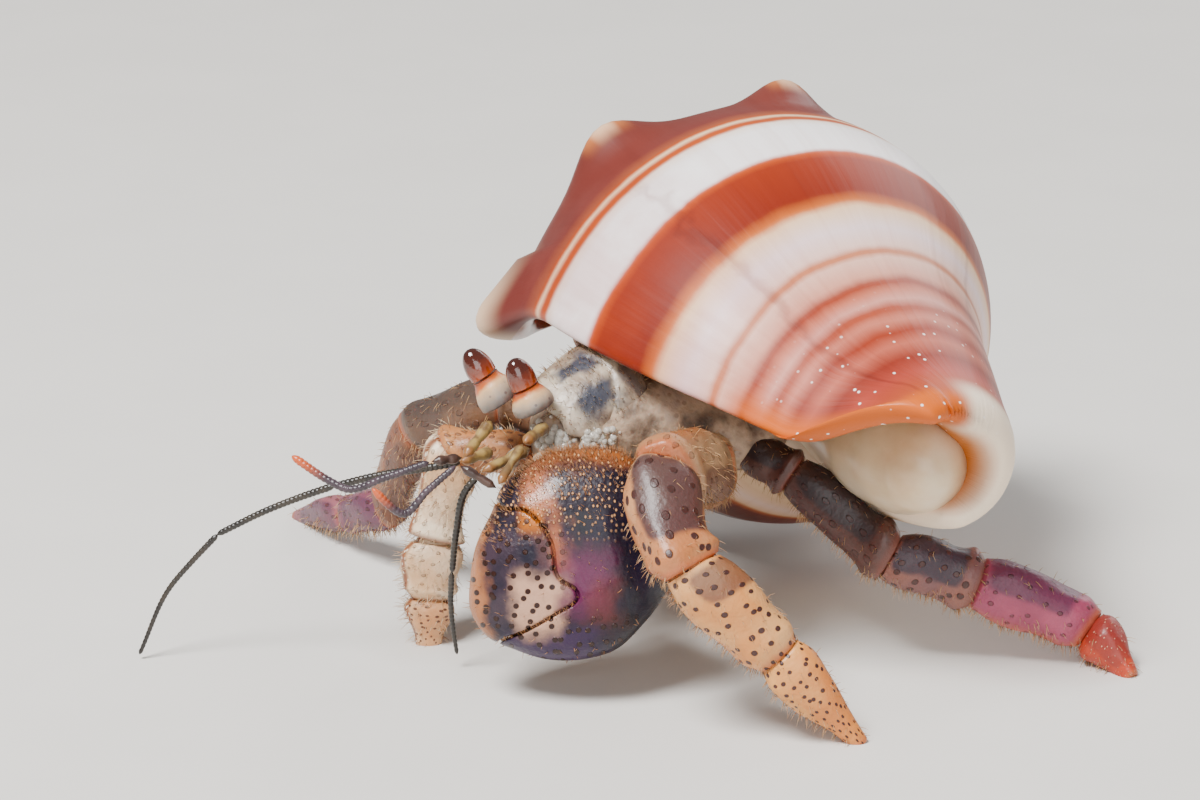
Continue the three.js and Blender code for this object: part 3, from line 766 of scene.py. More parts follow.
    def angles(self) -> np.ndarray:
        """Works out where the wall's sections stand, closer together towards the lip.

        Returns:
            Their angles in degrees, 0 at the lip and less behind it.
        """
        old = np.arange(-360 * self.turns, -360, 5.0)
        last = np.arange(-360, -12, 2.0)
        edge = -12 * (1 - np.sin(np.linspace(0, math.pi / 2, 16)))
        return np.concatenate([old, last, edge])

    def wall_piece(self) -> bpy.types.Object:
        """Sweeps the wall of all the whorls round the axis, as the snail laid it down.

        Returns:
            The wall, with its outer and inner layers.
        """
        angles = self.angles()
        rings = np.array([self.section(angle) for angle in angles])
        count, rows = rings.shape[1], len(angles) + 1

        def pick(u: np.ndarray, v: np.ndarray) -> tuple[np.ndarray, np.ndarray]:
            """Returns the angles of the sections at some shares, and their rows round the wall."""
            row = np.clip(np.round(v * rows).astype(int) - 1, 0, len(angles) - 1)
            return np.radians(angles[row]), rings[row, np.round(u * count).astype(int) % count]

        def place(u: np.ndarray, v: np.ndarray) -> np.ndarray:
            """Places the sections, with the first row drawn together to close the apex.

            Args:
                u: Shares round the body.
                v: Shares along the body.

            Returns:
                Points in metres, in the frame.
            """
            angle, ring = pick(u, v)
            points = self.point(angle, ring[:, 0], ring[:, 1])
            first = np.round(v * rows) == 0
            points[first] = points[first].mean(axis=0)
            return points

        def pattern(u: np.ndarray, v: np.ndarray) -> np.ndarray:
            """Returns the map of turns and heights."""
            angle, ring = pick(u, v)
            return np.stack([angle / TURN / self.turns + 1, ring[:, 2] / self.finish.unit_height], axis=1)

        piece = wrapped_grid("snail_shell", count, rows, place, pattern)
        piece.data.materials.append(self.finish.outside())
        piece.data.materials.append(self.finish.inside())
        # The inner layer also lies on older turns, where the next whorl covers them.
        maps = read(piece.data.uv_layers["Pattern"].data, "uv", 2, np.float32)
        turns, height = maps[read(piece.data.polygons, "loop_start", kind=int)].T
        covered = (turns < 1 - 1 / self.turns) & (height * self.finish.unit_height > self.suture)
        inner_side = height > 1.5
        piece.data.polygons.foreach_set("material_index", (inner_side | covered).astype(np.int32))
        return piece

    def pillar_piece(self) -> bpy.types.Object:
        """Turns the pillar in the middle of the shell.

        Returns:
            The pillar.
        """
        profile = np.array(self.pillar)
        share = lengths_along(profile)

        def place(u: np.ndarray, v: np.ndarray) -> np.ndarray:
            """Returns points round the profile."""
            radius, height = (np.interp(v, share, column) for column in profile.T)
            return self.ring(radius, height, u * TURN)

        piece = wrapped_grid("pillar", 40, 60, place)
        piece.data.materials.append(self.finish.pillar())
        return piece

    def build(self) -> bpy.types.Object:
        """Joins the whorls with the pillar and dresses the shell.

        Returns:
            The shell.
        """
        pillar = self.pillar_piece()
        shell = self.wall_piece()
        join([shell, pillar])
        shade(shell, 60)
        return finish_piece(shell, None, "shell", "shell")


# ---------------------------------------------------------------- armour of the limbs
@dataclass(frozen=True)
class ArmourFinish:
    """Hard skin of a limb: a base colour, a dark patch, coloured edges and raised dark spots."""

    name: str
    base: str
    second: str
    patch: str
    patch_share: float
    edge: str
    spot: str = "3a1a14"
    spot_share: float = 1.0
    spot_size: float = 0.165
    joint: str = "b0582c"
    patch_at: float = 0.56
    patch_end: float = 0.8
    rows: tuple = (11.0, 6.0)
    amber_shade_strip: str = "7a3808"
    amber_shade_share: float = 0.0
    roughness: float = 0.44

    def make(self) -> bpy.types.Material:
        """Makes the material; its map is (turn round the limb, share along it).

        Returns:
            The material.
        """
        gloss = {"Coat_Weight": 0.15, "Coat_Roughness": 0.25, "Subsurface_Weight": 0.05}
        g = Graph(self.name, Roughness=self.roughness, **gloss)
        around, along = g.pattern()
        cloud = g.noise(230, 4)
        g.mottle(cloud, 0.35, 0.65, self.base, self.second)
        # The dark patch lies on the middle of the side that faces outwards and ahead.
        upper = g.math("COSINE", (around - self.patch_at) * TURN)
        middle = g.rise(upper, 0.1, 0.75) * g.band(along, 0.1, self.patch_end, 0.1)
        ragged = middle * (g.noise(420, 4) + 0.55)
        g.paint(g.rise(ragged, 0.35, 0.8) * self.patch_share, self.patch)
        g.paint(g.rise(upper, -0.2, -0.8) * 0.7, self.edge)
        g.paint(g.most(g.rise(along, 0.1, 0.03), g.rise(along, 0.9, 0.97)) * 0.75, self.joint)
        # A strip of bare amber with pale beads runs down one edge of some limbs; its dark amber is partly the
        # limb's own colour and partly painted shade on that edge.
        amber_shade_strip = g.band(around, 0.3, 0.36, 0.02) * self.amber_shade_share
        g.paint(amber_shade_strip, self.amber_shade_strip)
        beads = g.rise(g.flat_cells(around * 26.0, along * 9.0), 0.22, 0.14)
        g.paint(beads * amber_shade_strip, "f4e4cc")
        # The spots stand in loose rows round and along the limb.
        distance = g.flat_cells(around * self.rows[0], along * self.rows[1])
        uneven = g.scaled(g.noise(900, 2), 0.16, -0.08)
        dots = g.rise(distance + uneven, self.spot_size + 0.04, self.spot_size - 0.02)
        g.paint(dots * self.spot_share, self.spot)
        return g.finish(dots * 0.9 + (g.noise(2600, 3) * 0.5 + cloud), 0.00016)


@dataclass
class Limb:
    """A jointed limb: its joints outwards from the body, and each length's size."""

    name: str
    lengths: tuple
    slot: str
    finishes: tuple
    joints: tuple
    dorsal: tuple
    sizes: tuple
    lifts: tuple
    tip: tuple
    front: tuple = (0.78, -0.55, 0.31)
    gap: float = 0.3
    neck: float = 0.9
    cap: float = 0.35
    flare: float = 0.085
    squareness: float = 2.4
    around: int = 48
    along: int = 72

    def is_last(self, i: int) -> bool:
        """Tells whether length i is the outermost one."""
        return i == len(self.lengths) - 1

    def plane(self, i: int) -> np.ndarray:
        """Works out the plane that parts the lengths at joint i, which halves the bend there.

        Args:
            i: Number of the joint.

        Returns:
            The plane's direction.
        """
        points = np.array(self.joints)
        behind = min(max(i, 1), len(points) - 1)
        ahead = min(i, len(points) - 2)
        before = unit(points[behind] - points[behind - 1])
        after = unit(points[ahead + 1] - points[ahead])
        return unit(before + after)

    def stations(self, i: int) -> np.ndarray:
        """Works out the widths of length i.

        Args:
            i: Number of the length.

        Returns:
            Rows of share along it, width, height and lift.
        """
        w, h = self.sizes[i]
        lift = self.lifts[i]
        if self.is_last(i):
            ew, eh = self.tip
            rows = [
                (0, 0.82 * w, 0.84 * h, 0), (0.12, w, h, 0.5 * lift), (0.4, 0.9 * w, 0.9 * h, lift),
                (0.75, (0.66 * w + ew) / 2, (0.7 * h + eh) / 2, 0.6 * lift), (1, ew, eh, 0),
            ]
        else:
            ew, eh = self.sizes[i + 1]
            rows = [
                (0, 0.76 * w, 0.8 * h, 0), (0.14, 0.93 * w, 0.95 * h, 0.5 * lift), (0.45, w, h, lift),
                (0.8, (w + ew) / 2, (h + eh) / 2, 0.6 * lift), (0.94, 0.92 * ew, 0.94 * eh, 0.2 * lift),
                (1, 0.84 * ew, 0.86 * eh, 0),
            ]
        return np.array(rows, float)

    def swelling(self, i: int, f: np.ndarray, turn: np.ndarray) -> np.ndarray:
        """Works out how length i departs from an ellipse.

        Args:
            i: Number of the length.
            f: Shares along it.
            turn: Angles round it in radians.

        Returns:
            Factors of its width and height.
        """
        power = self.squareness
        square = (np.abs(np.cos(turn)) ** power + np.abs(np.sin(turn)) ** power) ** (-1 / power)
        # Its surface is a little uneven, and it narrows and then flares before its far joint.
        lumps = 0.025 * np.sin(3 * turn + 6 * f + i) + 0.018 * np.sin(5 * turn - 11 * f + 2 * i)
        far = np.exp(-(((f - 0.88) / 0.07) ** 2)) - np.exp(-(((f - 0.66) / 0.14) ** 2))
        return square * (1 + lumps + (0.0 if self.is_last(i) else self.flare) * far)

    def piece(self, i: int) -> bpy.types.Object:
        """Builds length i, with a rounded end and a narrow neck that seats in the length behind it.

        Args:
            i: Number of the length.

        Returns:
            The length.
        """
        start, end = np.array(self.joints[i], float), np.array(self.joints[i + 1], float)
        length = np.linalg.norm(end - start)
        along = (end - start) / length
        upper = square_to(along, self.dorsal[i])
        outer = np.cross(along, upper)
        rows = self.stations(i)
        first = along if i == 0 else self.plane(i)
        last = along if self.is_last(i) else self.plane(i + 1)
        low, high = -self.neck / length, 1 + self.cap / length
        facing = square_to(along, self.front)
        middle_turn = math.atan2(facing @ upper, facing @ outer)

        def reach(spot: np.ndarray, joint: np.ndarray, plane: np.ndarray) -> np.ndarray:
            """Returns how far points lie past a joint's slanting plane, beyond a square one."""
            return (spot - joint) @ plane - (spot - joint) @ along * (plane @ along)

        def place(u: np.ndarray, v: np.ndarray) -> np.ndarray:
            """Places points round the length, from its neck to its far end.

            Args:
                u: Shares round the body.
                v: Shares along the body.

            Returns:
                Points in metres, in the frame.
            """
            f = low + (high - low) * v
            inner = np.clip(f, 0, 1)
            width, height, lift = smooth_through(rows[:, 0], rows[:, 1:], inner).T
            # The neck and the far end close in quarter rounds.
            neck = np.sqrt(np.clip(1 - (np.minimum(f, 0) / low) ** 2, 0, 1)) * 0.8
            cap = np.sqrt(np.clip(1 - (np.maximum(f - 1, 0) / (high - 1)) ** 2, 0, 1))
            turn = TURN * (u - 0.5) + middle_turn
            narrow = np.where(f < 0, neck, cap) / 2 * self.swelling(i, f, turn)
            spot = start + along * (inner * length)[:, None] + upper * lift[:, None]
            spot = oval(spot, (outer, upper), (width * narrow, height * narrow), turn)
            # The ends are slanted to lie along the joints' planes, half the gap away from them.
            shift = (self.gap / 2 - reach(spot, start, first)) / (first @ along) * (1 - inner)
            shift += (-self.gap / 2 - reach(spot, end, last)) / (last @ along) * inner
            spot += along * (shift + (f - inner) * length)[:, None]
            spot[:, 2] = np.maximum(spot[:, 2], 0)
            return metres(spot)

        return wrapped_grid(f"{self.name}_{self.lengths[i]}_armour", self.around, self.along, place)

    def build(self, materials: dict) -> list[bpy.types.Object]:
        """Builds and dresses all lengths of the limb.

        Args:
            materials: The armour's materials by name.

        Returns:
            The lengths.
        """
        made = []
        for i, length in enumerate(self.lengths):
            piece = self.piece(i)
            shade(piece, 60)
            made.append(finish_piece(piece, materials[self.finishes[i]], self.slot, f"{self.name}_{length}"))
        return made


@dataclass
class LimbSet:
    """The walking legs and the arm of the small claw, with the big claw's short arm."""

    finishes: tuple = (
        ArmourFinish(
            "near_leg_thigh", "b89470", "9a6e4a", "5a3c38", 0.7, "94501f",
            spot_share=0.35, patch_at=0.68, rows=(12.0, 8.0),
        ),
        ArmourFinish("near_leg_wrist", "bc8458", "b06a3a", "32222a", 0.9, "cf7434", patch_end=0.74),
        ArmourFinish(
            "near_leg_shin", "e0a468", "cf8440", "4a2828", 0.75, "d8823e",
            patch_at=0.62, patch_end=0.4, rows=(12.0, 9.0),
        ),
        ArmourFinish(
            "near_leg_foot", "e09a50", "d07c30", "b0562a", 0.25, "d87c38", rows=(15.0, 12.0), spot_size=0.17
        ),
        ArmourFinish(
            "hind_leg_thigh", "3c2220", "4c2e26", "1c1016", 0.85, "5e3c28",
            joint="6e3828", spot_share=0.4, patch_at=0.62,
        ),
        ArmourFinish(
            "hind_leg_wrist", "6a4444", "7c4c40", "20182a", 0.9, "7c4430", joint="6e3828", patch_at=0.6
        ),
        ArmourFinish(
            "hind_leg_shin", "a0405c", "8a3450", "3a1838", 0.7, "b8583c",
            spot_share=0.6, spot_size=0.1, patch_at=0.66,
        ),
        ArmourFinish(
            "hind_leg_foot", "ab3418", "962a1c", "641c1c", 0.5, "b84a1c",
            spot="d89078", spot_size=0.08, rows=(15.0, 11.0),
        ),
        ArmourFinish(
            "right_leg_thigh", "6e4c32", "50382a", "24201f", 0.8, "3c3430", spot_share=0.3, patch_at=0.8
        ),
        ArmourFinish("right_leg_wrist", "8a5228", "6e3c20", "40302a", 0.6, "8a6848", spot_share=0.5),
        ArmourFinish("right_leg_shin", "8a5058", "703c4c", "4c3044", 0.7, "8e5a50", spot_share=0.6),
        ArmourFinish(
            "small_claw", "ecd4b6", "d8ac80", "b88458", 0.35, "6a3010", spot="4a2414",
            spot_share=0.35, spot_size=0.11, rows=(12.0, 6.0), joint="6a2c0c", amber_shade_share=0.9,
        ),
        ArmourFinish(
            "small_claw_fingers", "dcb48c", "d08c54", "b87848", 0.3, "c07438", spot="4a2010",
            spot_share=0.9, spot_size=0.16, rows=(15.0, 9.0), amber_shade_share=0.9,
        ),
        ArmourFinish("small_claw_arm", "c48450", "ab6836", "84502c", 0.5, "cf9c68", spot_share=0.6),
    )
    leg: tuple = ("ischium", "merus", "carpus", "propodus", "dactyl")

    def legs(self) -> tuple[Limb, ...]:
        """Lists the four walking legs, with their sizes and finishes.

        Returns:
            The legs.
        """
        near, hind, right = (
            tuple(f"{which}_leg_{part}" for part in ("thigh", "thigh", "wrist", "shin", foot))
            for which, foot in (("near", "foot"), ("hind", "foot"), ("right", "shin"))
        )
        return (
            Limb(
                "leg_left_2", self.leg, "leg_armour", near,
                (
                    (7.4, 11.4, 17.2), (10.6, 12.4, 18.2), (17.8, 2.4, 21.6),
                    (24.0, 0.4, 15.5), (28.0, 6.7, 7.6), (32.6, 12.1, -0.2),
                ),
                ((0, 0.2, 1), (-0.2, -0.2, 1), (-0.5, -0.75, 0.4), (0.25, 0.7, 0.65), (0.25, 0.7, 0.65)),
                ((3.8, 4.6), (4.6, 6.6), (5.0, 6.6), (4.4, 6.0), (3.6, 4.8)),
                (0, 0.4, 1.0, 0, 0), (1.3, 1.5),
            ),
            Limb(
                "leg_left_3", self.leg, "leg_armour", hind,
                (
                    (8.6, 17.8, 18.4), (12.4, 20.0, 16.7), (19.8, 25.0, 10.2),
                    (23.5, 31.7, 7.5), (29.0, 40.4, 2.9), (34.1, 40.9, -0.2),
                ),
                ((0, 0.3, 1), (0.1, 0.5, 1), (0, 0.2, 1), (0, 0.2, 1), (0.5, 0.3, 1)),
                ((3.2, 4.0), (3.4, 4.5), (4.0, 5.2), (4.4, 5.6), (3.6, 4.4)),
                (0, 0, 0.2, 0.3, 0.3), (1.4, 1.7),
            ),
            Limb(
                "leg_right_2", self.leg, "far_leg_armour", right,
                (
                    (-3.6, 5.6, 19.6), (-7.4, 2.9, 21.4), (-18.0, 0.2, 16.4),
                    (-25.8, 2.2, 6.0), (-33.4, 2.4, 3.3), (-43.9, 3.2, -0.1),
                ),
                ((-0.2, 0, 1), (-0.3, 0, 1), (-0.8, 0, 0.6), (-0.3, 0, 1), (-0.2, 0, 1)),
                ((3.2, 4.0), (4.0, 5.0), (3.8, 4.4), (3.4, 4.0), (2.8, 3.4)),
                (0, 0.2, 0.3, 0.2, 0.3), (1.2, 1.3),
            ),
            Limb(
                "leg_right_3", self.leg, "far_leg_armour", right,
                (
                    (-4.2, 10.2, 16.6), (-8.4, 11.2, 17.0), (-18.6, 14.2, 12.6),
                    (-23.6, 19.6, 8.8), (-28.2, 27.2, 4.0), (-31.4, 34.2, -0.2),
                ),
                ((-0.2, 0, 1), (-0.3, 0, 1), (-0.4, 0, 1), (-0.4, 0, 1), (-0.4, 0, 1)),
                ((3.0, 3.6), (3.4, 4.2), (3.6, 4.4), (3.6, 4.4), (2.8, 3.4)),
                (0, 0, 0.2, 0.2, 0.2), (1.2, 1.4),
            ),
        )

    def arms(self) -> tuple[Limb, ...]:
        """Lists the arms and the small claw, with their sizes and finishes.

        Returns:
            The arms.
        """
        return (
            Limb(
                "claw_left", ("merus", "carpus"), "big_claw", ("near_leg_thigh", "near_leg_wrist"),
                ((2.6, 4.6, 18.4), (6.4, 4.2, 16.8), (9.6, 1.0, 17.6)), ((-0.5, 0, 1), (0, 0.4, 1)),
                ((4.0, 4.6), (4.6, 5.6)), (0, 0), (4.8, 5.6),
            ),
            Limb(
                "claw_right", ("merus", "carpus"), "small_claw", ("small_claw_arm", "small_claw"),
                ((-2.7, 2.0, 18.2), (-8.4, -1.7, 17.3), (-9.0, -3.6, 9.5)),
                ((-0.6, -0.8, 0.4), (-0.6, -0.8, 0.2)), ((3.4, 4.0), (3.8, 5.0)), (0, 0.3), (3.8, 5.2),
            ),
            Limb(
                "claw_right", ("palm", "fingers"), "small_claw", ("small_claw", "small_claw_fingers"),
                ((-8.95, -3.65, 9.1), (-8.4, -4.6, 4.1), (-8.1, -5.1, -0.35)),
                ((-0.6, -0.8, 0.2), (-0.6, -0.8, 0.2)), ((3.8, 5.4), (3.2, 4.4)), (0.2, 0), (1.6, 2.2),
            ),
        )

    def build(self) -> list[bpy.types.Object]:
        """Builds and dresses all limbs.

        Returns:
            Their lengths.
        """
        materials = {finish.name: finish.make() for finish in self.finishes}
        return [piece for limb in self.legs() + self.arms() for piece in limb.build(materials)]


# ---------------------------------------------------------------- the big claw
@dataclass
class BigClaw:
    """The great left claw: a swollen hand whose movable finger is set into its lower left."""

    centre: tuple = (8.9, -1.3, 12.5)
    across: tuple = (0.5736, 0.8192, 0.0)
    up: tuple = (-0.2531, 0.1772, 0.9511)
    thickness: float = 4.4
    behind: float = 0.8
    finger_gap: float = 0.26
    seat: float = 0.86
    voxel: float = 0.14
    outline: tuple = (
        (-6.0, 5.9), (-4.1, 7.5), (-1.6, 8.9), (1.1, 9.2), (4.3, 8.9), (6.9, 6.9), (8.2, 3.4), (8.7, 0),
        (8.0, -3.4), (6.1, -6.0), (3.8, -8.1), (1.1, -8.9), (-2.2, -8.9), (-4.8, -8.1), (-7.3, -6.9),
        (-8.7, -4.6), (-8.7, -2.0), (-8.2, 0.9), (-6.8, 3.9),
    )
    finger: tuple = (
        (-8.0, 5.4), (-5.8, 4.0), (-3.8, 3.8), (-1.8, 1.3), (-1.3, -1.6), (0.3, -2.8), (0.3, -3.7),
        (-1.3, -4.7), (-3.9, -6.2), (-6.2, -7.2), (-8.5, -9.2), (-11.0, -5.0), (-11.0, 2.0),
    )

    def __post_init__(self) -> None:
        """Works out the claw's three directions: across, up and out of its middle plane."""
        across = unit(self.across)
        up = square_to(across, self.up)
        self.sides = (across, up, np.cross(across, up))

    def spot(self, x: np.ndarray, y: np.ndarray, out: np.ndarray) -> np.ndarray:
        """Returns points in the frame for places across, up and out of the claw's middle plane."""
        return metres(np.array(self.centre) + np.stack([x, y, out], axis=1) @ np.array(self.sides))

    def hand(self, name: str) -> bpy.types.Object:
        """Builds the rounded body over the hand's outline.

        Args:
            name: Name of the body.

        Returns:
            The body.
        """
        line = np.array(self.outline + self.outline[:1], float)
        share = lengths_along(line)
        ring = np.vstack([line[-3:-1], line, line[1:3]])
        knots = np.concatenate([share[-3:-1] - 1, share, share[1:3] + 1])

        def place(u: np.ndarray, v: np.ndarray) -> np.ndarray:
            """Places points from the back of the hand to its front.

            Args:
                u: Shares round the body.
                v: Shares along the body.

            Returns:
                Points in metres, in the frame.
            """
            turn = (v * 2 - 1) * math.pi / 2
            edge = smooth_through(knots, ring, u % 1.0) * np.cos(turn)[:, None] ** 0.75
            tall = np.where(turn > 0, self.thickness, self.thickness * self.behind)
            return self.spot(*edge.T, np.sin(turn) * tall)

        return wrapped_grid(name, 140, 70, place)

    def finger_prism(self, grow: float) -> bpy.types.Object:
        """Builds a straight prism over the movable finger.

        Args:
            grow: How far the outline is moved out, in millimetres.

        Returns:
            The prism.
        """
        corners = np.array(self.finger, float)
        ring = np.vstack([corners[-2:], corners, corners[:3]])
        share = np.arange(-2, len(corners) + 3, dtype=float)
        line = smooth_through(share, ring, np.linspace(0, len(corners), 5 * len(corners), endpoint=False))
        following = np.roll(line, -1, axis=0)
        turned = sum(a[0] * b[1] - a[1] * b[0] for a, b in zip(line, following))
        side = unit(unit(following - line) + unit(line - np.roll(line, 1, axis=0)))
        line = line + np.stack([side[:, 1], -side[:, 0]], axis=1) * math.copysign(grow, turned)
        start_alone()
        bpy.ops.mesh.primitive_circle_add(vertices=len(line), radius=1, fill_type="NGON")
        prism = bpy.context.object
        write(prism.data.vertices, "co", self.spot(*line.T, np.full(len(line), -2 * self.thickness)))
        prism.data.update()
        lift = tuple(self.sides[2] * 4 * self.thickness * MM)
        edit_all(
            prism,
            (bpy.ops.mesh.extrude_region_move, {"TRANSFORM_OT_translate": {"value": lift}}),
            (bpy.ops.mesh.normals_make_consistent, {"inside": False}),
        )
        return prism

    def material(self) -> bpy.types.Material:
        """Makes the claw's finish: navy and violet, with an orange upper edge and dark spots.

        Returns:
            The material.
        """
        g = Graph("big_claw", Roughness=0.38, Coat_Weight=0.22, Coat_Roughness=0.12, Specular_IOR_Level=0.3)
        kind = "ShaderNodeVectorMath"
        local = g.node(kind, {0: g.place(), 1: tuple(metres(self.centre))}, operation="SUBTRACT")
        x, y = (
            g.node(kind, {0: local, 1: tuple(side / MM)}, "Value", operation="DOT_PRODUCT")
            for side in self.sides[:2]
        )
        # The colours' borders wander to and fro by a cloudy noise.
        cloud = g.noise(260, 5)
        wx = x + g.scaled(cloud, 5.0, -2.5)
        wy = y + g.scaled(g.noise(330, 5), 4.0, -2.0)
        # The hand is navy on the right and below, brown where it rises to the fuzzy orange upper edge.
        g.mottle(cloud, 0.38, 0.66, "070614", "140c24")
        g.paint(g.rise(wy, 2.0, 5.5) * g.rise(wx, 5.5, 1.0), "241a26")
        g.paint(g.rise(wy, 6.9, 9.4) * g.rise(wx, 8.0, 5.0) * 0.85, "a0581e")
        # A pale streak runs down its middle to a magenta patch with a rusty rim, and violet below.
        streak = g.scaled(wy, 0.25, wx)
        for across, up, share, colour in (
            (g.band(streak, -2.6, -0.5, 0.9), g.band(wy, -0.6, 7.4, 1.3), 0.85, "b8683c"),
            (g.band(wx, -1.4, 3.4, 1.2), g.band(wy, -5.0, 0.6, 1.6), 0.8, "5c1640"),
            (g.band(wx, 1.6, 4.2, 0.9), g.band(wy, -6.4, -1.8, 1.2), 0.4, "6a2814"),
            (g.band(wx, -6.5, 2.5, 1.5), g.rise(wy, -5.6, -7.2), 0.7, "381c48"),
        ):
            g.paint(across * up * share, colour)
        # The movable finger: slate on its left, cream near its tip, with an orange-tan outer edge.
        slate = g.mix(g.rise(cloud, 0.35, 0.65), tone("181624"), tone("3a2a34"))
        for across, up, share, colour in (
            (g.rise(x, -1.2, -2.2), g.band(y, -6.6, 4.2, 1.0), 0.9, slate),
            (g.band(wx, -4.6, -0.6, 0.9), g.band(wy, -6.6, -1.6, 1.2), 0.9, "c4977c"),
            (g.rise(wx, -6.6, -8.2), g.band(y, -8.0, 5.0, 1.0), 0.85, "b06c3c"),
        ):
            g.paint(across * up * share, colour)
        # Its hinge is amber.
        g.paint(g.band(x, -4.4, -2.4, 0.5) * g.band(y, 2.2, 4.4, 0.7) * 0.9, "b0600c")
        # Dark spots stand on the left and below, and pale beads on the upper half.
        where = g.most(g.rise(x, 0.2, -1.6), g.rise(y, -4.4, -6.2)) * g.rise(y, 4.6, 2.6)
        dots = g.rise(g.flat_cells(x * 0.9, y * 0.9, 0.9), 0.24, 0.17) * where
        g.paint(dots, "2a0e06")
        beads = g.rise(y, 0.5, 5.0) * g.rise(g.flat_cells(x * 1.9, y * 1.5, 0.7), 0.26, 0.14)
        g.paint(beads * 0.8, "d8a070")
        return g.finish(dots * 0.8 + (beads + g.noise(1800, 3) * 0.5), 0.0002)

    def build(self) -> list[bpy.types.Object]:
        """Builds the hand with its fixed finger, and the movable finger.

        Returns:
            The two pieces.
        """
        hand = self.hand("big_claw_palm")
        make_active(hand)
        bpy.ops.object.duplicate()
        finger = bpy.context.object
        finger.name = "big_claw_finger"
        # The finger is seated in a shallow pocket, so the middle of the hand stays whole behind it.
        seat = self.hand("seat")
        size = {"value": (self.seat,) * 3, "center_override": tuple(metres(self.centre))}
        edit_all(seat, (bpy.ops.transform.resize, size))
        cut(hand, self.finger_prism(self.finger_gap), "DIFFERENCE")
        join([hand, seat])
        cut(finger, self.finger_prism(0.0), "INTERSECT")
        material = self.material()
        for piece, node in ((hand, "claw_left_palm"), (finger, "claw_left_finger")):
            # The cut edges are rounded off.
            apply_modifier(piece, "REMESH", mode="VOXEL", voxel_size=self.voxel * MM)
            apply_modifier(piece, "SMOOTH", factor=0.6, iterations=7)
            shade(piece, 70)
            finish_piece(piece, material, "big_claw", node)
        return [hand, finger]


# ---------------------------------------------------------------- head and trunk
@dataclass
class Trunk:
    """Soft trunk from behind the head, turning up into the shell and coiling inside its last turn."""

    # Middle of each section, and its width and height.
    sections: tuple = (
        (-0.6, 0.9, 20.5, 2.0, 2.0), (-0.4, 1.9, 20.4, 4.8, 4.4), (-0.3, 4.0, 20.0, 7.2, 7.2),
        (0.8, 8.0, 20.2, 8.8, 9.0), (2.4, 12.0, 20.3, 9.0, 9.2), (5.0, 16.2, 19.9, 8.2, 8.0),
        (7.4, 18.9, 19.3, 6.2, 6.0),
    )
    left: tuple = (0.857, 0.133, -0.499)
    # The coil: its angles in the shell, its place in the whorl, and half its sizes.
    coil_angles: tuple = (-6.0, -96.0)
    coil_radius: float = 13.2
    coil_heights: tuple = (36.5, 30.5)
    coil_half: tuple = (4.4, 5.2)
    coil_sections: int = 7

    def material(self) -> bpy.types.Material:
        """Makes soft, mottled grey-brown skin.

        Returns:
            The material.
        """
        g = Graph("soft_skin", Roughness=0.55, Subsurface_Weight=0.15, Subsurface_Scale=0.002)
        cloud = g.noise(300, 5)
        tones = ((0.3, "3c2c24"), (0.42, "7c6653"), (0.54, "b89c82"), (0.64, "a08a7a"), (0.76, "5e5450"))
        g.ramp(cloud, *tones)
        g.paint(g.rise(g.cells(1100), 0.3, 0.18) * 0.4, "5d4336")
        return g.finish(cloud + g.noise(1500, 4) * 0.6, 0.00025)

    def table(self, shell: SnailShell) -> np.ndarray:
        """Works out the sections of trunk and coil.

        Args:
            shell: The shell that the abdomen coils in.

        Returns:
            Rows of a middle point, width and height.
        """
        count = self.coil_sections
        share = np.linspace(0, 1, count)
        angles = np.interp(share, (0, 1), self.coil_angles)
        heights = np.interp(share, (0, 1), self.coil_heights)
        radius = np.full(count, self.coil_radius)
        inner = shell.point(np.radians(angles), radius, heights) / MM - FRAME_SHIFT
        size = np.sqrt(np.maximum(0.15, np.sin(math.pi * (0.18 + 0.74 * share))))
        wide, tall = (2 * half * part * size for half, part in zip(self.coil_half, (0.9, 0.85)))
        coil = np.column_stack([inner, wide, tall])[1:]
        tail = (*(2 * inner[-1] - inner[-2]), 0.6, 0.6)
        return np.vstack([self.sections, coil, tail])

    def build(self, shell: SnailShell) -> bpy.types.Object:
        """Builds the trunk and abdomen as one skin.

        Args:
            shell: The shell that the abdomen coils in.

        Returns:
            The skin.
        """
        table = self.table(shell)
        knots = lengths_along(table[:, :3])

        def place(u: np.ndarray, v: np.ndarray) -> np.ndarray:
            """Places points round the trunk, whose two ends are rounded.

            Args:
                u: Shares round the body.
                v: Shares along the body.

            Returns:
                Points in metres, in the frame.
            """
            values = smooth_through(knots, table, v)
            along = heading(knots, table[:, :3], v)
            outer = square_to(along, self.left)
            ends = quarter_round(np.minimum(v, 1 - v), 0.03)
            halves = (values[:, 3] / 2 * ends, values[:, 4] / 2 * ends)
            return metres(oval(values[:, :3], (outer, np.cross(along, outer)), halves, TURN * u))

        skin = wrapped_grid("body_skin", 72, 150, place)
        shade(skin, 80)
        return finish_piece(skin, self.material(), "soft_skin", "thorax", "abdomen")


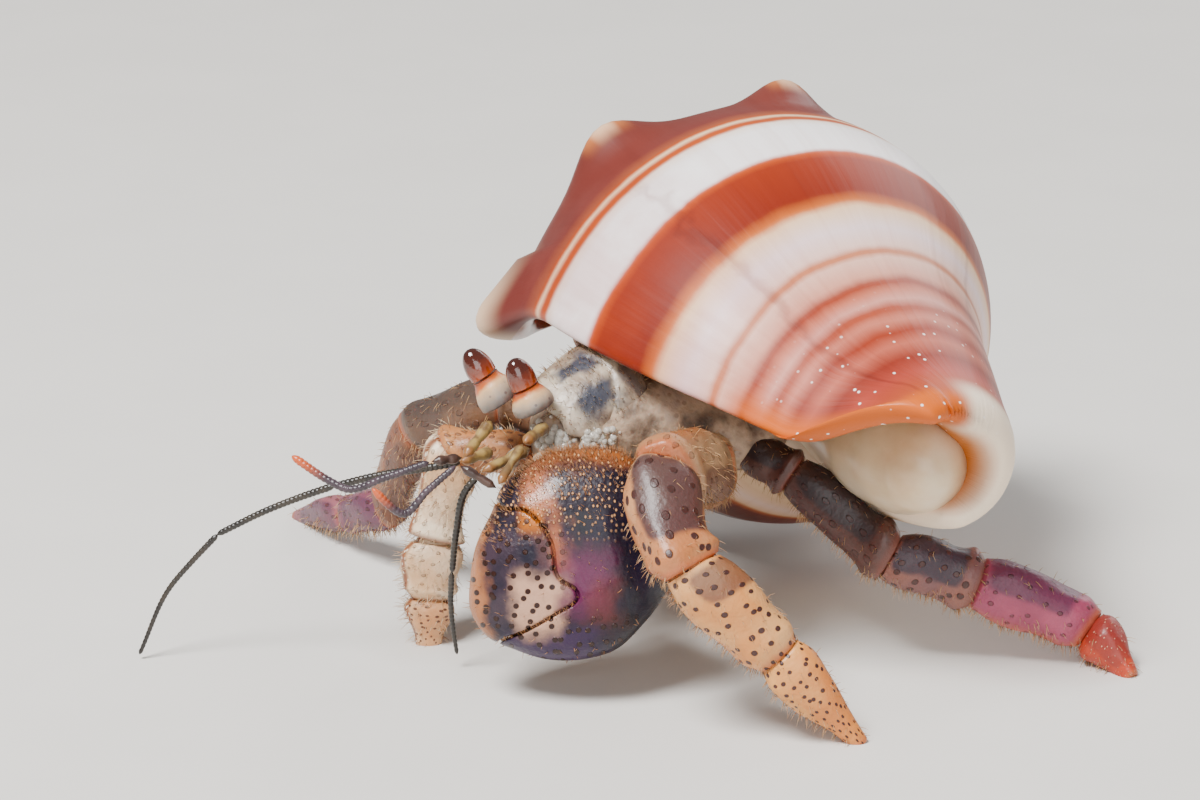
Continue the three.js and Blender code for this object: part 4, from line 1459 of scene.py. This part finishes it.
@dataclass
class Shield:
    """Front of the carapace: a domed plate rolled to the animal's left."""

    front: tuple = (0.8, 1.8, 22.9)
    left: tuple = (0.857, 0.133, -0.499)
    back: tuple = (0.111, 0.908, 0.404)
    half_width: float = 4.6
    length: float = 8.7
    rise: float = 1.05
    thickness: float = 0.9
    sag: float = 0.075
    groove: float = 0.22
    # Half the outline: share of the half width, and of the length from the front.
    half: tuple = (
        (0, 0), (0.3, 0.04), (0.55, 0.01), (0.78, 0.13), (0.92, 0.35), (1, 0.6), (0.97, 0.82), (0.7, 0.97)
    )

    def material(self) -> bpy.types.Material:
        """Makes the cream plate with slate patches; its map is (across, back) from -1 to 1.

        Returns:
            The material.
        """
        g = Graph("carapace", Roughness=0.42, Coat_Weight=0.2, Coat_Roughness=0.25, Subsurface_Weight=0.08)
        across, back = g.pattern()
        cloud = g.noise(420, 4)
        warp = g.scaled(g.noise(300, 4), 0.9, -0.45)
        side, back = g.math("ABSOLUTE", across + warp, 0.0), back + warp
        g.mottle(cloud, 0.36, 0.6, "c4b09a", "8c7460")
        g.paint(g.band(side, 0.16, 0.72, 0.14) * g.band(back, -0.5, 0.42, 0.2) * 0.95, "22283a")
        g.paint(g.band(side, 0.12, 0.8, 0.1) * g.band(back, 0.6, 0.92, 0.08) * 0.6, "454048")
        g.paint(g.rise(g.cells(1300), 0.22, 0.12) * 0.6, "4a3630")
        return g.finish(cloud + g.noise(1900, 3) * 0.5, 0.00015)

    def build(self) -> bpy.types.Object:
        """Builds the plate with its groove.

        Returns:
            The plate.
        """
        left = unit(self.left)
        back = square_to(left, self.back)
        out = np.cross(left, back)
        out = out if out[2] > 0 else -out
        centre = np.array(self.front) + np.array(self.back) * self.length / 2
        rim = [(x * self.half_width, (y - 0.5) * self.length) for x, y in self.half]
        other = [(-x, y) for x, y in reversed(rim[1:])]
        line = np.array([*rim, (0, 0.5 * self.length), *other, rim[0]], float)
        knots = lengths_along(line)

        def flat(u: np.ndarray, v: np.ndarray) -> np.ndarray:
            """Returns places across and back on the plate, drawn in towards its middle."""
            return smooth_through(knots, line, u % 1.0) * np.cos((v * 2 - 1) * math.pi / 2)[:, None] ** 0.75

        def place(u: np.ndarray, v: np.ndarray) -> np.ndarray:
            """Places points of the dome, with the groove across it, and of the under side.

            Args:
                u: Shares round the body.
                v: Shares along the body.

            Returns:
                Points in metres, in the frame.
            """
            x, y = flat(u, v).T
            turn = (v * 2 - 1) * math.pi / 2
            height = np.sin(turn) * np.where(turn > 0, self.rise, self.thickness) - self.sag * x * x
            groove = np.exp(-(((y / self.length - 0.24 + 0.018 * x * x) / 0.022) ** 2))
            height = height - self.groove * groove * (turn > 0)
            return metres(centre + np.stack([x, y, height], axis=1) @ np.array([left, back, out]))

        def pattern(u: np.ndarray, v: np.ndarray) -> np.ndarray:
            """Returns the map of shares across and back."""
            return flat(u, v) / [self.half_width, self.length / 2]

        plate = wrapped_grid("shield_plate", 120, 60, place, pattern)
        shade(plate, 60)
        return finish_piece(plate, self.material(), "carapace", "shield")


@dataclass
class Eyes:
    """Stalked eyes: a stalk that narrows at a neck, and a glossy dark cornea on its tip."""

    left: tuple = ((1.5, 0.1, 23.5), (0.6, -1.7, 28.2))
    right: tuple = ((-1.4, -1.4, 23.6), (-3.3, -3.8, 28.4))
    dorsal: tuple = (0.111, 0.908, 0.404)
    root: tuple = (3.4, 3.8)
    waist: tuple = (2.7, 3.1)
    neck: tuple = (2.05, 2.5)
    cornea: tuple = (2.1, 2.6)
    cornea_length: float = 2.8

    def stalk_finish(self) -> bpy.types.Material:
        """Makes the stalk's finish, grey and cream with an orange ring under the cornea.

        Returns:
            The material.
        """
        g = Graph("eye_stalk", Roughness=0.35, Coat_Weight=0.3, Coat_Roughness=0.2, Subsurface_Weight=0.1)
        around, along = g.pattern()
        slant = g.math("COSINE", around * TURN) * 0.13
        along = along + (slant + g.scaled(g.noise(900, 3), 0.24, -0.12))
        greys = ((0.0, "4c4440"), (0.22, "7e7268"), (0.42, "b0947a"))
        g.ramp(along, *greys, (0.6, "d8a878"), (0.74, "c05c20"), (0.95, "7c2a0e"))
        g.paint(g.rise(g.cells(1500), 0.26, 0.14) * g.rise(along, 0.6, 0.2), "5a4c48")
        return g.finish(g.noise(1500, 3), 0.00006)

    def cornea_finish(self) -> bpy.types.Material:
        """Makes the dark amber cornea.

        Returns:
            The material.
        """
        g = Graph("cornea", Roughness=0.06, Coat_Weight=1.0, Coat_Roughness=0.03)
        g.ramp(g.pattern()[1], (0.0, "a8440e"), (0.25, "7a2c0c"), (0.6, "48180a"), (1.0, "34120a"))
        return g.finish(g.cells(5200), 0.000015)

    def part(self, name: str, ends: np.ndarray, rows: Sequence, close: Callable) -> bpy.types.Object:
        """Builds one part of an eye, along a straight line.

        Args:
            name: Name of the part.
            ends: Its two end points.
            rows: Rows of share along it, width and height.
            close: Gives the share of its size at each place, which closes its ends.

        Returns:
            The part.
        """
        rows = np.array(rows, float)
        along = unit(ends[1] - ends[0])
        upper = square_to(along, self.dorsal)
        sides = (np.cross(along, upper), upper)

        def place(u: np.ndarray, v: np.ndarray) -> np.ndarray:
            """Returns points round the line."""
            width, height = smooth_through(rows[:, 0], rows[:, 1:], v).T * close(v) / 2
            middle = ends[0] + (ends[1] - ends[0]) * v[:, None]
            return metres(oval(middle, sides, (width, height), TURN * u))

        piece = wrapped_grid(name, 40, 40, place)
        shade(piece, 80)
        return piece

    def build(self) -> None:
        """Builds both eyes."""
        stalk_finish, cornea_finish = self.stalk_finish(), self.cornea_finish()
        widths = ((0, self.root), (0.35, self.root), (0.68, self.waist), (0.92, self.neck), (1, self.neck))
        stalk = [(share, *size) for share, size in widths]
        globe = [(0, *self.neck), *((share, *self.cornea) for share in (0.3, 0.6, 1))]

        def stalk_ends(v: np.ndarray) -> np.ndarray:
            """Closes the stalk's root slowly and its tip at once."""
            return root_rise(v, 0.08) * root_rise(1 - v, 0.02)

        def globe_ends(v: np.ndarray) -> np.ndarray:
            """Closes the cornea's foot at once and rounds its top."""
            return quarter_round(1 - v, 0.75) * root_rise(v, 0.04)

        for side, line in ((Side.LEFT, self.left), (Side.RIGHT, self.right)):
            root, tip = np.array(line, float)
            neck = tip + (root - tip) * self.cornea_length / np.linalg.norm(tip - root)
            piece = self.part(f"eye_stalk_{side.value}", np.array([root, neck]), stalk, stalk_ends)
            finish_piece(piece, stalk_finish, "eye_stalk", f"eyestalk_{side.value}")
            piece = self.part(f"eye_cornea_{side.value}", np.array([neck, tip]), globe, globe_ends)
            finish_piece(piece, cornea_finish, "eye", f"cornea_{side.value}")


@dataclass(frozen=True)
class Feeler:
    """One length of a feeler: its finish, its thickness at both ends and its points."""

    name: str
    finish: str
    first: float
    last: float
    points: tuple
    ring: float = 0.42
    overlap: float = 0.28

    def build(self, material: bpy.types.Material) -> None:
        """Builds the length as a tapering body with rounded ends, ringed where it is a lash.

        Args:
            material: Its material.
        """
        lash = "lash" in self.name
        points = np.array(self.points, float)
        knots = lengths_along(points)
        total = float(np.linalg.norm(np.diff(points, axis=0), axis=1).sum())
        rings = max(4, round(total / self.ring))

        def thickness(v: np.ndarray) -> np.ndarray:
            """Works out the radius along the length.

            Args:
                v: Shares along the length.

            Returns:
                The radius at each place.
            """
            radius = (self.first + (self.last - self.first) * v) / 2
            if lash:
                return radius * 0.78 * (0.84 + 0.16 * np.abs(np.sin(math.pi * rings * v)))
            return radius * 0.74 * (1 + 0.14 * np.cos(TURN * v) + 0.06 * np.cos(3 * TURN * v))

        def place(u: np.ndarray, v: np.ndarray) -> np.ndarray:
            """Places points round the length, which runs on a little at both ends to meet the next.

            Args:
                u: Shares round the body.
                v: Shares along the body.

            Returns:
                Points in metres, in the frame.
            """
            along = heading(knots, points, v)
            beyond = np.maximum(0, (v - 0.97) / 0.03) - np.maximum(0, (0.03 - v) / 0.03)
            middle = smooth_through(knots, points, v) + along * (self.overlap * beyond)[:, None]
            outer = unit(np.cross(along, (0.3, 0.2, 0.93)))
            radius = thickness(v)
            radius = radius * root_rise(np.minimum(v, 1 - v) * total, radius.clip(0.1))
            spot = oval(middle, (outer, np.cross(along, outer)), (radius, radius), TURN * u)
            spot[:, 2] = np.maximum(spot[:, 2], 0)
            return metres(spot)

        piece = wrapped_grid(f"{self.name}_piece", 14, rings * 6 if lash else 40, place)
        shade(piece, 60)
        finish_piece(piece, material, "soft_skin" if self.finish == "mouth_limb" else "feeler", self.name)


@dataclass
class Feelers:
    """Antennules, antennae and the mouth limbs."""

    # Name of each finish, its two tones and the tone of its tip.
    finishes: tuple = (
        ("feeler_segment", "9c8048", "6a5030", "8a5a2c"),
        ("feeler_dark", "4a2f22", "33201a", "3a2620"),
        ("antennule_lash", "44343c", "30242c", "c4521c"),
        ("antenna_lash", "2e261c", "1c1712", "1c1712"),
        ("mouth_limb", "b5a48c", "948672", "d9cbb4"),
    )
    lengths: tuple = (
        Feeler("antennule_left_base", "feeler_segment", 1.6, 1.3, ((2.2, 0.7, 22.1), (4.3, -2.9, 21.9))),
        Feeler("antennule_left_middle", "feeler_segment", 1.2, 1.0, ((4.6, -3.5, 21.7), (6.6, -7.1, 19.7))),
        Feeler("antennule_left_end", "feeler_dark", 1.0, 1.2, ((6.7, -7.8, 19.5), (5.0, -9.8, 21.1))),
        Feeler(
            "antennule_left_lash", "antennule_lash", 0.8, 1.0,
            (
                (4.6, -10.5, 21.1), (3.9, -12.7, 19.3), (3.1, -14.8, 17.4), (2.8, -15.6, 18.0),
                (2.1, -16.9, 19.6),
            ),
        ),
        Feeler("antennule_right_base", "feeler_segment", 1.6, 1.2, ((-1.0, -3.0, 22.2), (0.9, -6.8, 20.5))),
        Feeler("antennule_right_middle", "feeler_dark", 1.2, 1.2, ((1.0, -7.5, 20.4), (0.7, -9.9, 20.5))),
        Feeler(
            "antennule_right_lash", "antennule_lash", 0.8, 1.0,
            (
                (0.5, -10.6, 20.4), (-1.7, -13.5, 19.0), (-4.2, -15.9, 17.8), (-5.3, -16.7, 18.3),
                (-7.8, -18.8, 20.2),
            ),
        ),
        Feeler("antenna_right_base", "feeler_segment", 1.6, 1.2, ((-2.6, -1.8, 18.9), (-1.6, -5.5, 19.0))),
        Feeler(
            "antenna_right_lash_1", "antenna_lash", 0.95, 0.9,
            ((-1.5, -6.1, 19.0), (-2.9, -8.7, 18.6), (-5.8, -11.9, 17.7), (-8.3, -14.2, 16.6)),
        ),
        Feeler(
            "antenna_right_lash_2", "antenna_lash", 0.9, 0.75,
            ((-8.6, -14.5, 16.5), (-10.7, -16.5, 15.3), (-12.6, -18.8, 14.0), (-15.4, -22.0, 11.7)),
        ),
        Feeler(
            "antenna_right_lash_3", "antenna_lash", 0.75, 0.5,
            ((-15.6, -22.3, 11.4), (-16.8, -23.9, 9.2), (-17.9, -25.7, 6.7), (-19.3, -28.1, 0.7)),
        ),
        Feeler("antenna_left_base", "feeler_segment", 1.6, 1.1, ((2.2, -1.2, 20.3), (2.3, -5.8, 19.3))),
        Feeler(
            "antenna_left_lash_1", "antenna_lash", 0.9, 0.75,
            ((2.3, -6.5, 19.0), (1.8, -7.4, 17.7), (1.0, -7.9, 13.9), (0.1, -7.8, 9.9)),
        ),
        Feeler(
            "antenna_left_lash_2", "antenna_lash", 0.75, 0.5,
            ((0.0, -7.8, 9.5), (-0.8, -7.4, 6.3), (-1.2, -6.9, 3.8), (-1.3, -6.5, 1.6)),
        ),
        Feeler(
            "maxilliped_left", "mouth_limb", 2.0, 1.0,
            ((1.9, 0.6, 19.6), (2.3, -0.6, 18.0), (1.7, -1.2, 16.4)),
        ),
        Feeler(
            "maxilliped_right", "mouth_limb", 2.0, 1.0,
            ((-0.9, -0.5, 19.3), (-0.3, -1.5, 17.6), (-0.6, -1.9, 16.2)),
        ),
    )

    def material(self, name: str, base: str, second: str, tip: str) -> bpy.types.Material:
        """Makes the finish of one kind of feeler; its map's second number runs along it.

        Args:
            name: Name of the finish.
            base: Its first tone.
            second: The tone that mottles it.
            tip: The tone of its far end.

        Returns:
            The material.
        """
        g = Graph(name, Roughness=0.4, Coat_Weight=0.3, Coat_Roughness=0.25)
        g.mottle(g.noise(700, 3), 0.4, 0.6, base, second)
        g.paint(g.rise(g.pattern()[1], 0.72, 0.98), tip)
        return g.finish(g.noise(2000, 2), 0.00004)

    def build(self) -> None:
        """Builds all feelers and mouth limbs."""
        materials = {name: self.material(name, *tones) for name, *tones in self.finishes}
        for length in self.lengths:
            length.build(materials[length.finish])


# ---------------------------------------------------------------- hairs
@dataclass(frozen=True)
class Coat:
    """Stiff hairs on some pieces, each a thin curved spike with its own patch of the bake map."""

    name: str
    colour: str
    slot: str
    length: float
    count: int
    seed: int
    lie: tuple
    thickness: float = 0.07
    lean: float = 0.6
    curve: float = 0.22
    patch: float = 0.003

    def roots(self, pieces: Sequence[bpy.types.Object], weigh: Callable) -> tuple:
        """Chooses the hairs' roots on the pieces, by area and weight.

        Args:
            pieces: The pieces that the hairs grow from.
            weigh: Gives a weight for each of some faces' upward shares, from -1 to 1.

        Returns:
            Roots in metres, normals, and places on the bake map.
        """
        chooser = np.random.default_rng(self.seed)
        corners, places = [], []
        for number, piece in enumerate(pieces):
            mesh = piece.data
            mesh.calc_loop_triangles()
            triangles = read(mesh.loop_triangles, "vertices", 3, int)
            corners.append(read(mesh.vertices, "co", 3)[triangles])
            layer = mesh.uv_layers.get("Pattern")
            if layer is None:
                flat = corners[-1][:, :, :2] * 12 + 0.5
            else:
                flat = read(layer.data, "uv", 2, np.float32)[read(mesh.loop_triangles, "loops", 3, int)]
            # Each piece has its own row of the map, so that no two pieces' hairs share a place.
            rows = len(pieces)
            places.append(np.clip(flat, 0, 1) * [0.98, 0.96 / rows] + [0.01, (number + 0.02) / rows])
        corners, places = np.concatenate(corners), np.concatenate(places)
        cross = np.cross(corners[:, 1] - corners[:, 0], corners[:, 2] - corners[:, 0])
        normals = unit(cross)
        weight = np.linalg.norm(cross, axis=1) * weigh(normals[:, 2])
        chosen = chooser.choice(len(corners), self.count, p=weight / weight.sum())
        share = chooser.dirichlet([1, 1, 1], self.count)[:, :, None]
        return (corners[chosen] * share).sum(axis=1), normals[chosen], (places[chosen] * share).sum(axis=1)

    def spikes(self, root: np.ndarray, normal: np.ndarray) -> np.ndarray:
        """Works out the hairs' points.

        Args:
            root: Their roots in metres.
            normal: The skin's directions there.

        Returns:
            For each hair, three rings of three points and a tip, in metres.
        """
        chooser = np.random.default_rng(self.seed + 100)
        lie = np.asarray(self.lie, float)
        jitter = chooser.normal(0, 0.35, root.shape)
        ahead = unit(normal + self.lean * lie + jitter)
        ahead = unit(ahead + np.maximum(0, 0.25 - (ahead * normal).sum(1))[:, None] * normal)
        tall = (self.length * chooser.uniform(0.5, 1.2, len(root)) * MM)[:, None]
        side = unit(np.cross(ahead, unit(chooser.normal(0, 1, root.shape))))
        other = np.cross(ahead, side)
        points = []
        for share, wide in ((-0.04, 1.0), (0.5, 0.75), (0.92, 0.3)):
            middle = root + ahead * tall * share + unit(lie) * tall * self.curve * share * abs(share)
            radius = self.thickness / 2 * MM * wide
            for turn in (0, TURN / 3, TURN * 2 / 3):
                points.append(middle + (side * math.cos(turn) + other * math.sin(turn)) * radius)
        points.append(root + ahead * tall + unit(lie) * tall * 0.24)
        spots = np.stack(points, axis=1)
        spots[:, :, 2] = np.maximum(spots[:, :, 2], 0)
        return spots

    def build(self, pieces: Sequence[bpy.types.Object], weigh: Callable) -> None:
        """Builds the hairs as one mesh.

        Args:
            pieces: The pieces that the hairs grow from.
            weigh: Gives a weight for each of some faces' upward shares, from -1 to 1.
        """
        root, normal, place = self.roots(pieces, weigh)
        points = self.spikes(root, normal).reshape(-1, 3)
        one = [(2, 1, 0)]
        for ring in (0, 3):
            one += [(ring + i, ring + (i + 1) % 3, ring + 3 + (i + 1) % 3, ring + 3 + i) for i in range(3)]
        one += [(6 + i, 6 + (i + 1) % 3, 9) for i in range(3)]
        faces = [tuple(10 * hair + i for i in face) for hair in range(self.count) for face in one]
        mesh = bpy.data.meshes.new(self.name)
        mesh.from_pydata(points.tolist(), [], faces)
        # On the bake map each hair is a small star about its root's place.
        corners = read(mesh.loops, "vertex_index", kind=int)
        star = [[math.cos(TURN * (i % 3) / 3), (i // 3) / 1.5 - 1] for i in range(9)] + [[0, 1]]
        offset = np.array(star)[corners % 10] * self.patch / 2
        write(mesh.uv_layers.new(name="OFBake").data, "uv", place[corners // 10] + offset)
        piece = bpy.data.objects.new(self.name, mesh)
        bpy.context.collection.objects.link(piece)
        make_active(piece)
        bpy.ops.object.shade_smooth()
        g = Graph(self.name, Roughness=0.5, Subsurface_Weight=0.1)
        g.mottle(g.noise(500, 2), 0.3, 0.7, self.colour, "a87850")
        finish_piece(piece, g.finish(), self.slot)


@dataclass
class Foam:
    """Wet bubbles in front of the mouth."""

    count: int = 240
    seed: int = 9
    middle: tuple = (6.0, 0.6, 20.6)
    spread: tuple = (5.6, 3.4, 2.6)
    radii: tuple = (0.12, 0.42)

    def build(self, skin: bpy.types.Object) -> None:
        """Builds the bubbles as one mesh of small spheres.

        Args:
            skin: The skin that the bubbles lie on.
        """
        chooser = np.random.default_rng(self.seed)
        made = []
        for _ in range(self.count):
            spot = np.array(self.middle) + chooser.normal(0, 0.5, 3) * self.spread
            radius = chooser.uniform(*self.radii) * MM
            _, place, normal, _ = skin.closest_point_on_mesh(tuple(metres(spot)))
            start_alone()
            location = place + 0.4 * radius * normal
            bpy.ops.mesh.primitive_ico_sphere_add(subdivisions=2, radius=radius, location=location)
            made.append(bpy.context.object)
        for bubble in made:
            bubble.select_set(True)
        bpy.ops.object.transform_apply(location=True, rotation=True, scale=True)
        join(made)
        foam = bpy.context.object
        foam.name = "mouth_foam"
        bpy.ops.object.shade_smooth()
        g = Graph("foam", Roughness=0.05, Transmission_Weight=0.55, IOR=1.2, Coat_Weight=0.5)
        g.colour = tone("f2ece0")
        finish_piece(foam, g.finish(), "soft_skin")


# ---------------------------------------------------------------- stage
@dataclass
class Studio:
    """Camera, plain pale floor and soft light."""

    eye: tuple = (330.946, -223.769, 153.787)
    azimuth: float = 55.0
    elevation: float = 18.0
    lens: float = 144.9
    # Name of each light, its place and size in metres, and its power in watts.
    lamps: tuple = (
        ("top_light", (0.1, -0.45, 0.75), 0.3, 17.0),
        ("front_light", (0.75, -0.35, 0.3), 0.5, 2.6),
        ("rim_light", (-0.2, 0.7, 0.4), 0.5, 2.6),
    )
    aim: tuple = (0.0, 0.0, 0.02)
    surround: float = 0.36

    def camera(self) -> None:
        """Makes the camera."""
        start_alone()
        bpy.ops.object.camera_add(location=tuple(metres(self.eye)))
        camera = bpy.context.object
        camera.name = "camera"
        camera.data.lens = self.lens
        camera.data.sensor_width = 36.0
        camera.data.clip_start = 0.01
        camera.data.clip_end = 50.0
        camera.rotation_euler = (math.pi / 2 - math.radians(self.elevation), 0.0, math.radians(self.azimuth))
        bpy.context.scene.camera = camera

    def floor(self) -> None:
        """Makes the floor."""
        start_alone()
        bpy.ops.mesh.primitive_plane_add(size=6.0)
        floor = bpy.context.object
        floor.name = "floor"
        g = Graph("floor", Roughness=0.85)
        g.mottle(g.noise(60, 3), 0.35, 0.65, "dcd8d2", "dad6d0")
        floor.data.materials.append(g.finish())

    def lights(self) -> None:
        """Makes a top light, softer lights in front and behind, and an even surround."""
        for name, place, size, power in self.lamps:
            start_alone()
            bpy.ops.object.light_add(type="AREA", location=place)
            light = bpy.context.object
            light.name = name
            light.data.size = size
            light.data.energy = power
            x, y, z = np.array(self.aim) - np.array(place)
            tilt = math.acos(-z / math.hypot(x, y, z))
            light.rotation_euler = (tilt, 0.0, math.atan2(y, x) - math.pi / 2)
        world = bpy.data.worlds.new("surround")
        world.use_nodes = True
        background = world.node_tree.nodes["Background"]
        background.inputs[0].default_value = tone("eef0f2")
        background.inputs[1].default_value = self.surround
        bpy.context.scene.world = world

    def build(self) -> None:
        """Makes the whole stage."""
        self.camera()
        self.floor()
        self.lights()


@dataclass
class Fur:
    """The four coats of hairs, thicker where the skin faces down, up or evenly all round."""

    leg: Coat = Coat("leg_hairs", "c49a66", "leg_armour", 0.8, 4600, 3, (0.4, -0.2, -0.6))
    small_claw: Coat = Coat("small_claw_hairs", "e0c8a0", "small_claw", 0.9, 900, 5, (-0.5, -0.4, -0.5))
    big_claw: Coat = Coat("big_claw_hairs", "c08048", "big_claw", 0.6, 2200, 7, (-0.2, -0.4, 0.4))
    shield: Coat = Coat("shield_hairs", "c9b48c", "carapace", 0.7, 700, 11, (0.2, -0.8, 0.2))

    @staticmethod
    def lower_side(upwards: np.ndarray) -> np.ndarray:
        """Weighs hairs towards the lower side of a limb."""
        return 0.12 + np.clip(-upwards, 0, 1) ** 1.5

    @staticmethod
    def upper_edge(upwards: np.ndarray) -> np.ndarray:
        """Weighs hairs towards the upper edge of the claw."""
        return 0.03 + smoothstep(0.35, 0.9, upwards)

    def build(self, limbs: Sequence, claw: Sequence, plate: bpy.types.Object) -> None:
        """Builds the coats on their pieces.

        Args:
            limbs: All lengths of the limbs.
            claw: The big claw's pieces.
            plate: The shield's plate.
        """
        legs = [piece for piece in limbs if piece.name.startswith("leg_")]
        arms = [piece for piece in limbs if piece.name.startswith("claw_right")]
        self.leg.build(legs, self.lower_side)
        self.small_claw.build(arms, np.ones_like)
        self.big_claw.build(claw, self.upper_edge)
        self.shield.build([plate], np.ones_like)


def main() -> None:
    """Builds the studio and the model."""
    logging.basicConfig(level=logging.INFO, format="%(message)s")
    Studio().build()
    shell = SnailShell()
    shell.build()
    limbs = LimbSet().build()
    claw = BigClaw().build()
    skin = Trunk().build(shell)
    plate = Shield().build()
    Eyes().build()
    Feelers().build()
    Foam().build(skin)
    Fur().build(limbs, claw, plate)


if __name__ == "__main__":
    main()
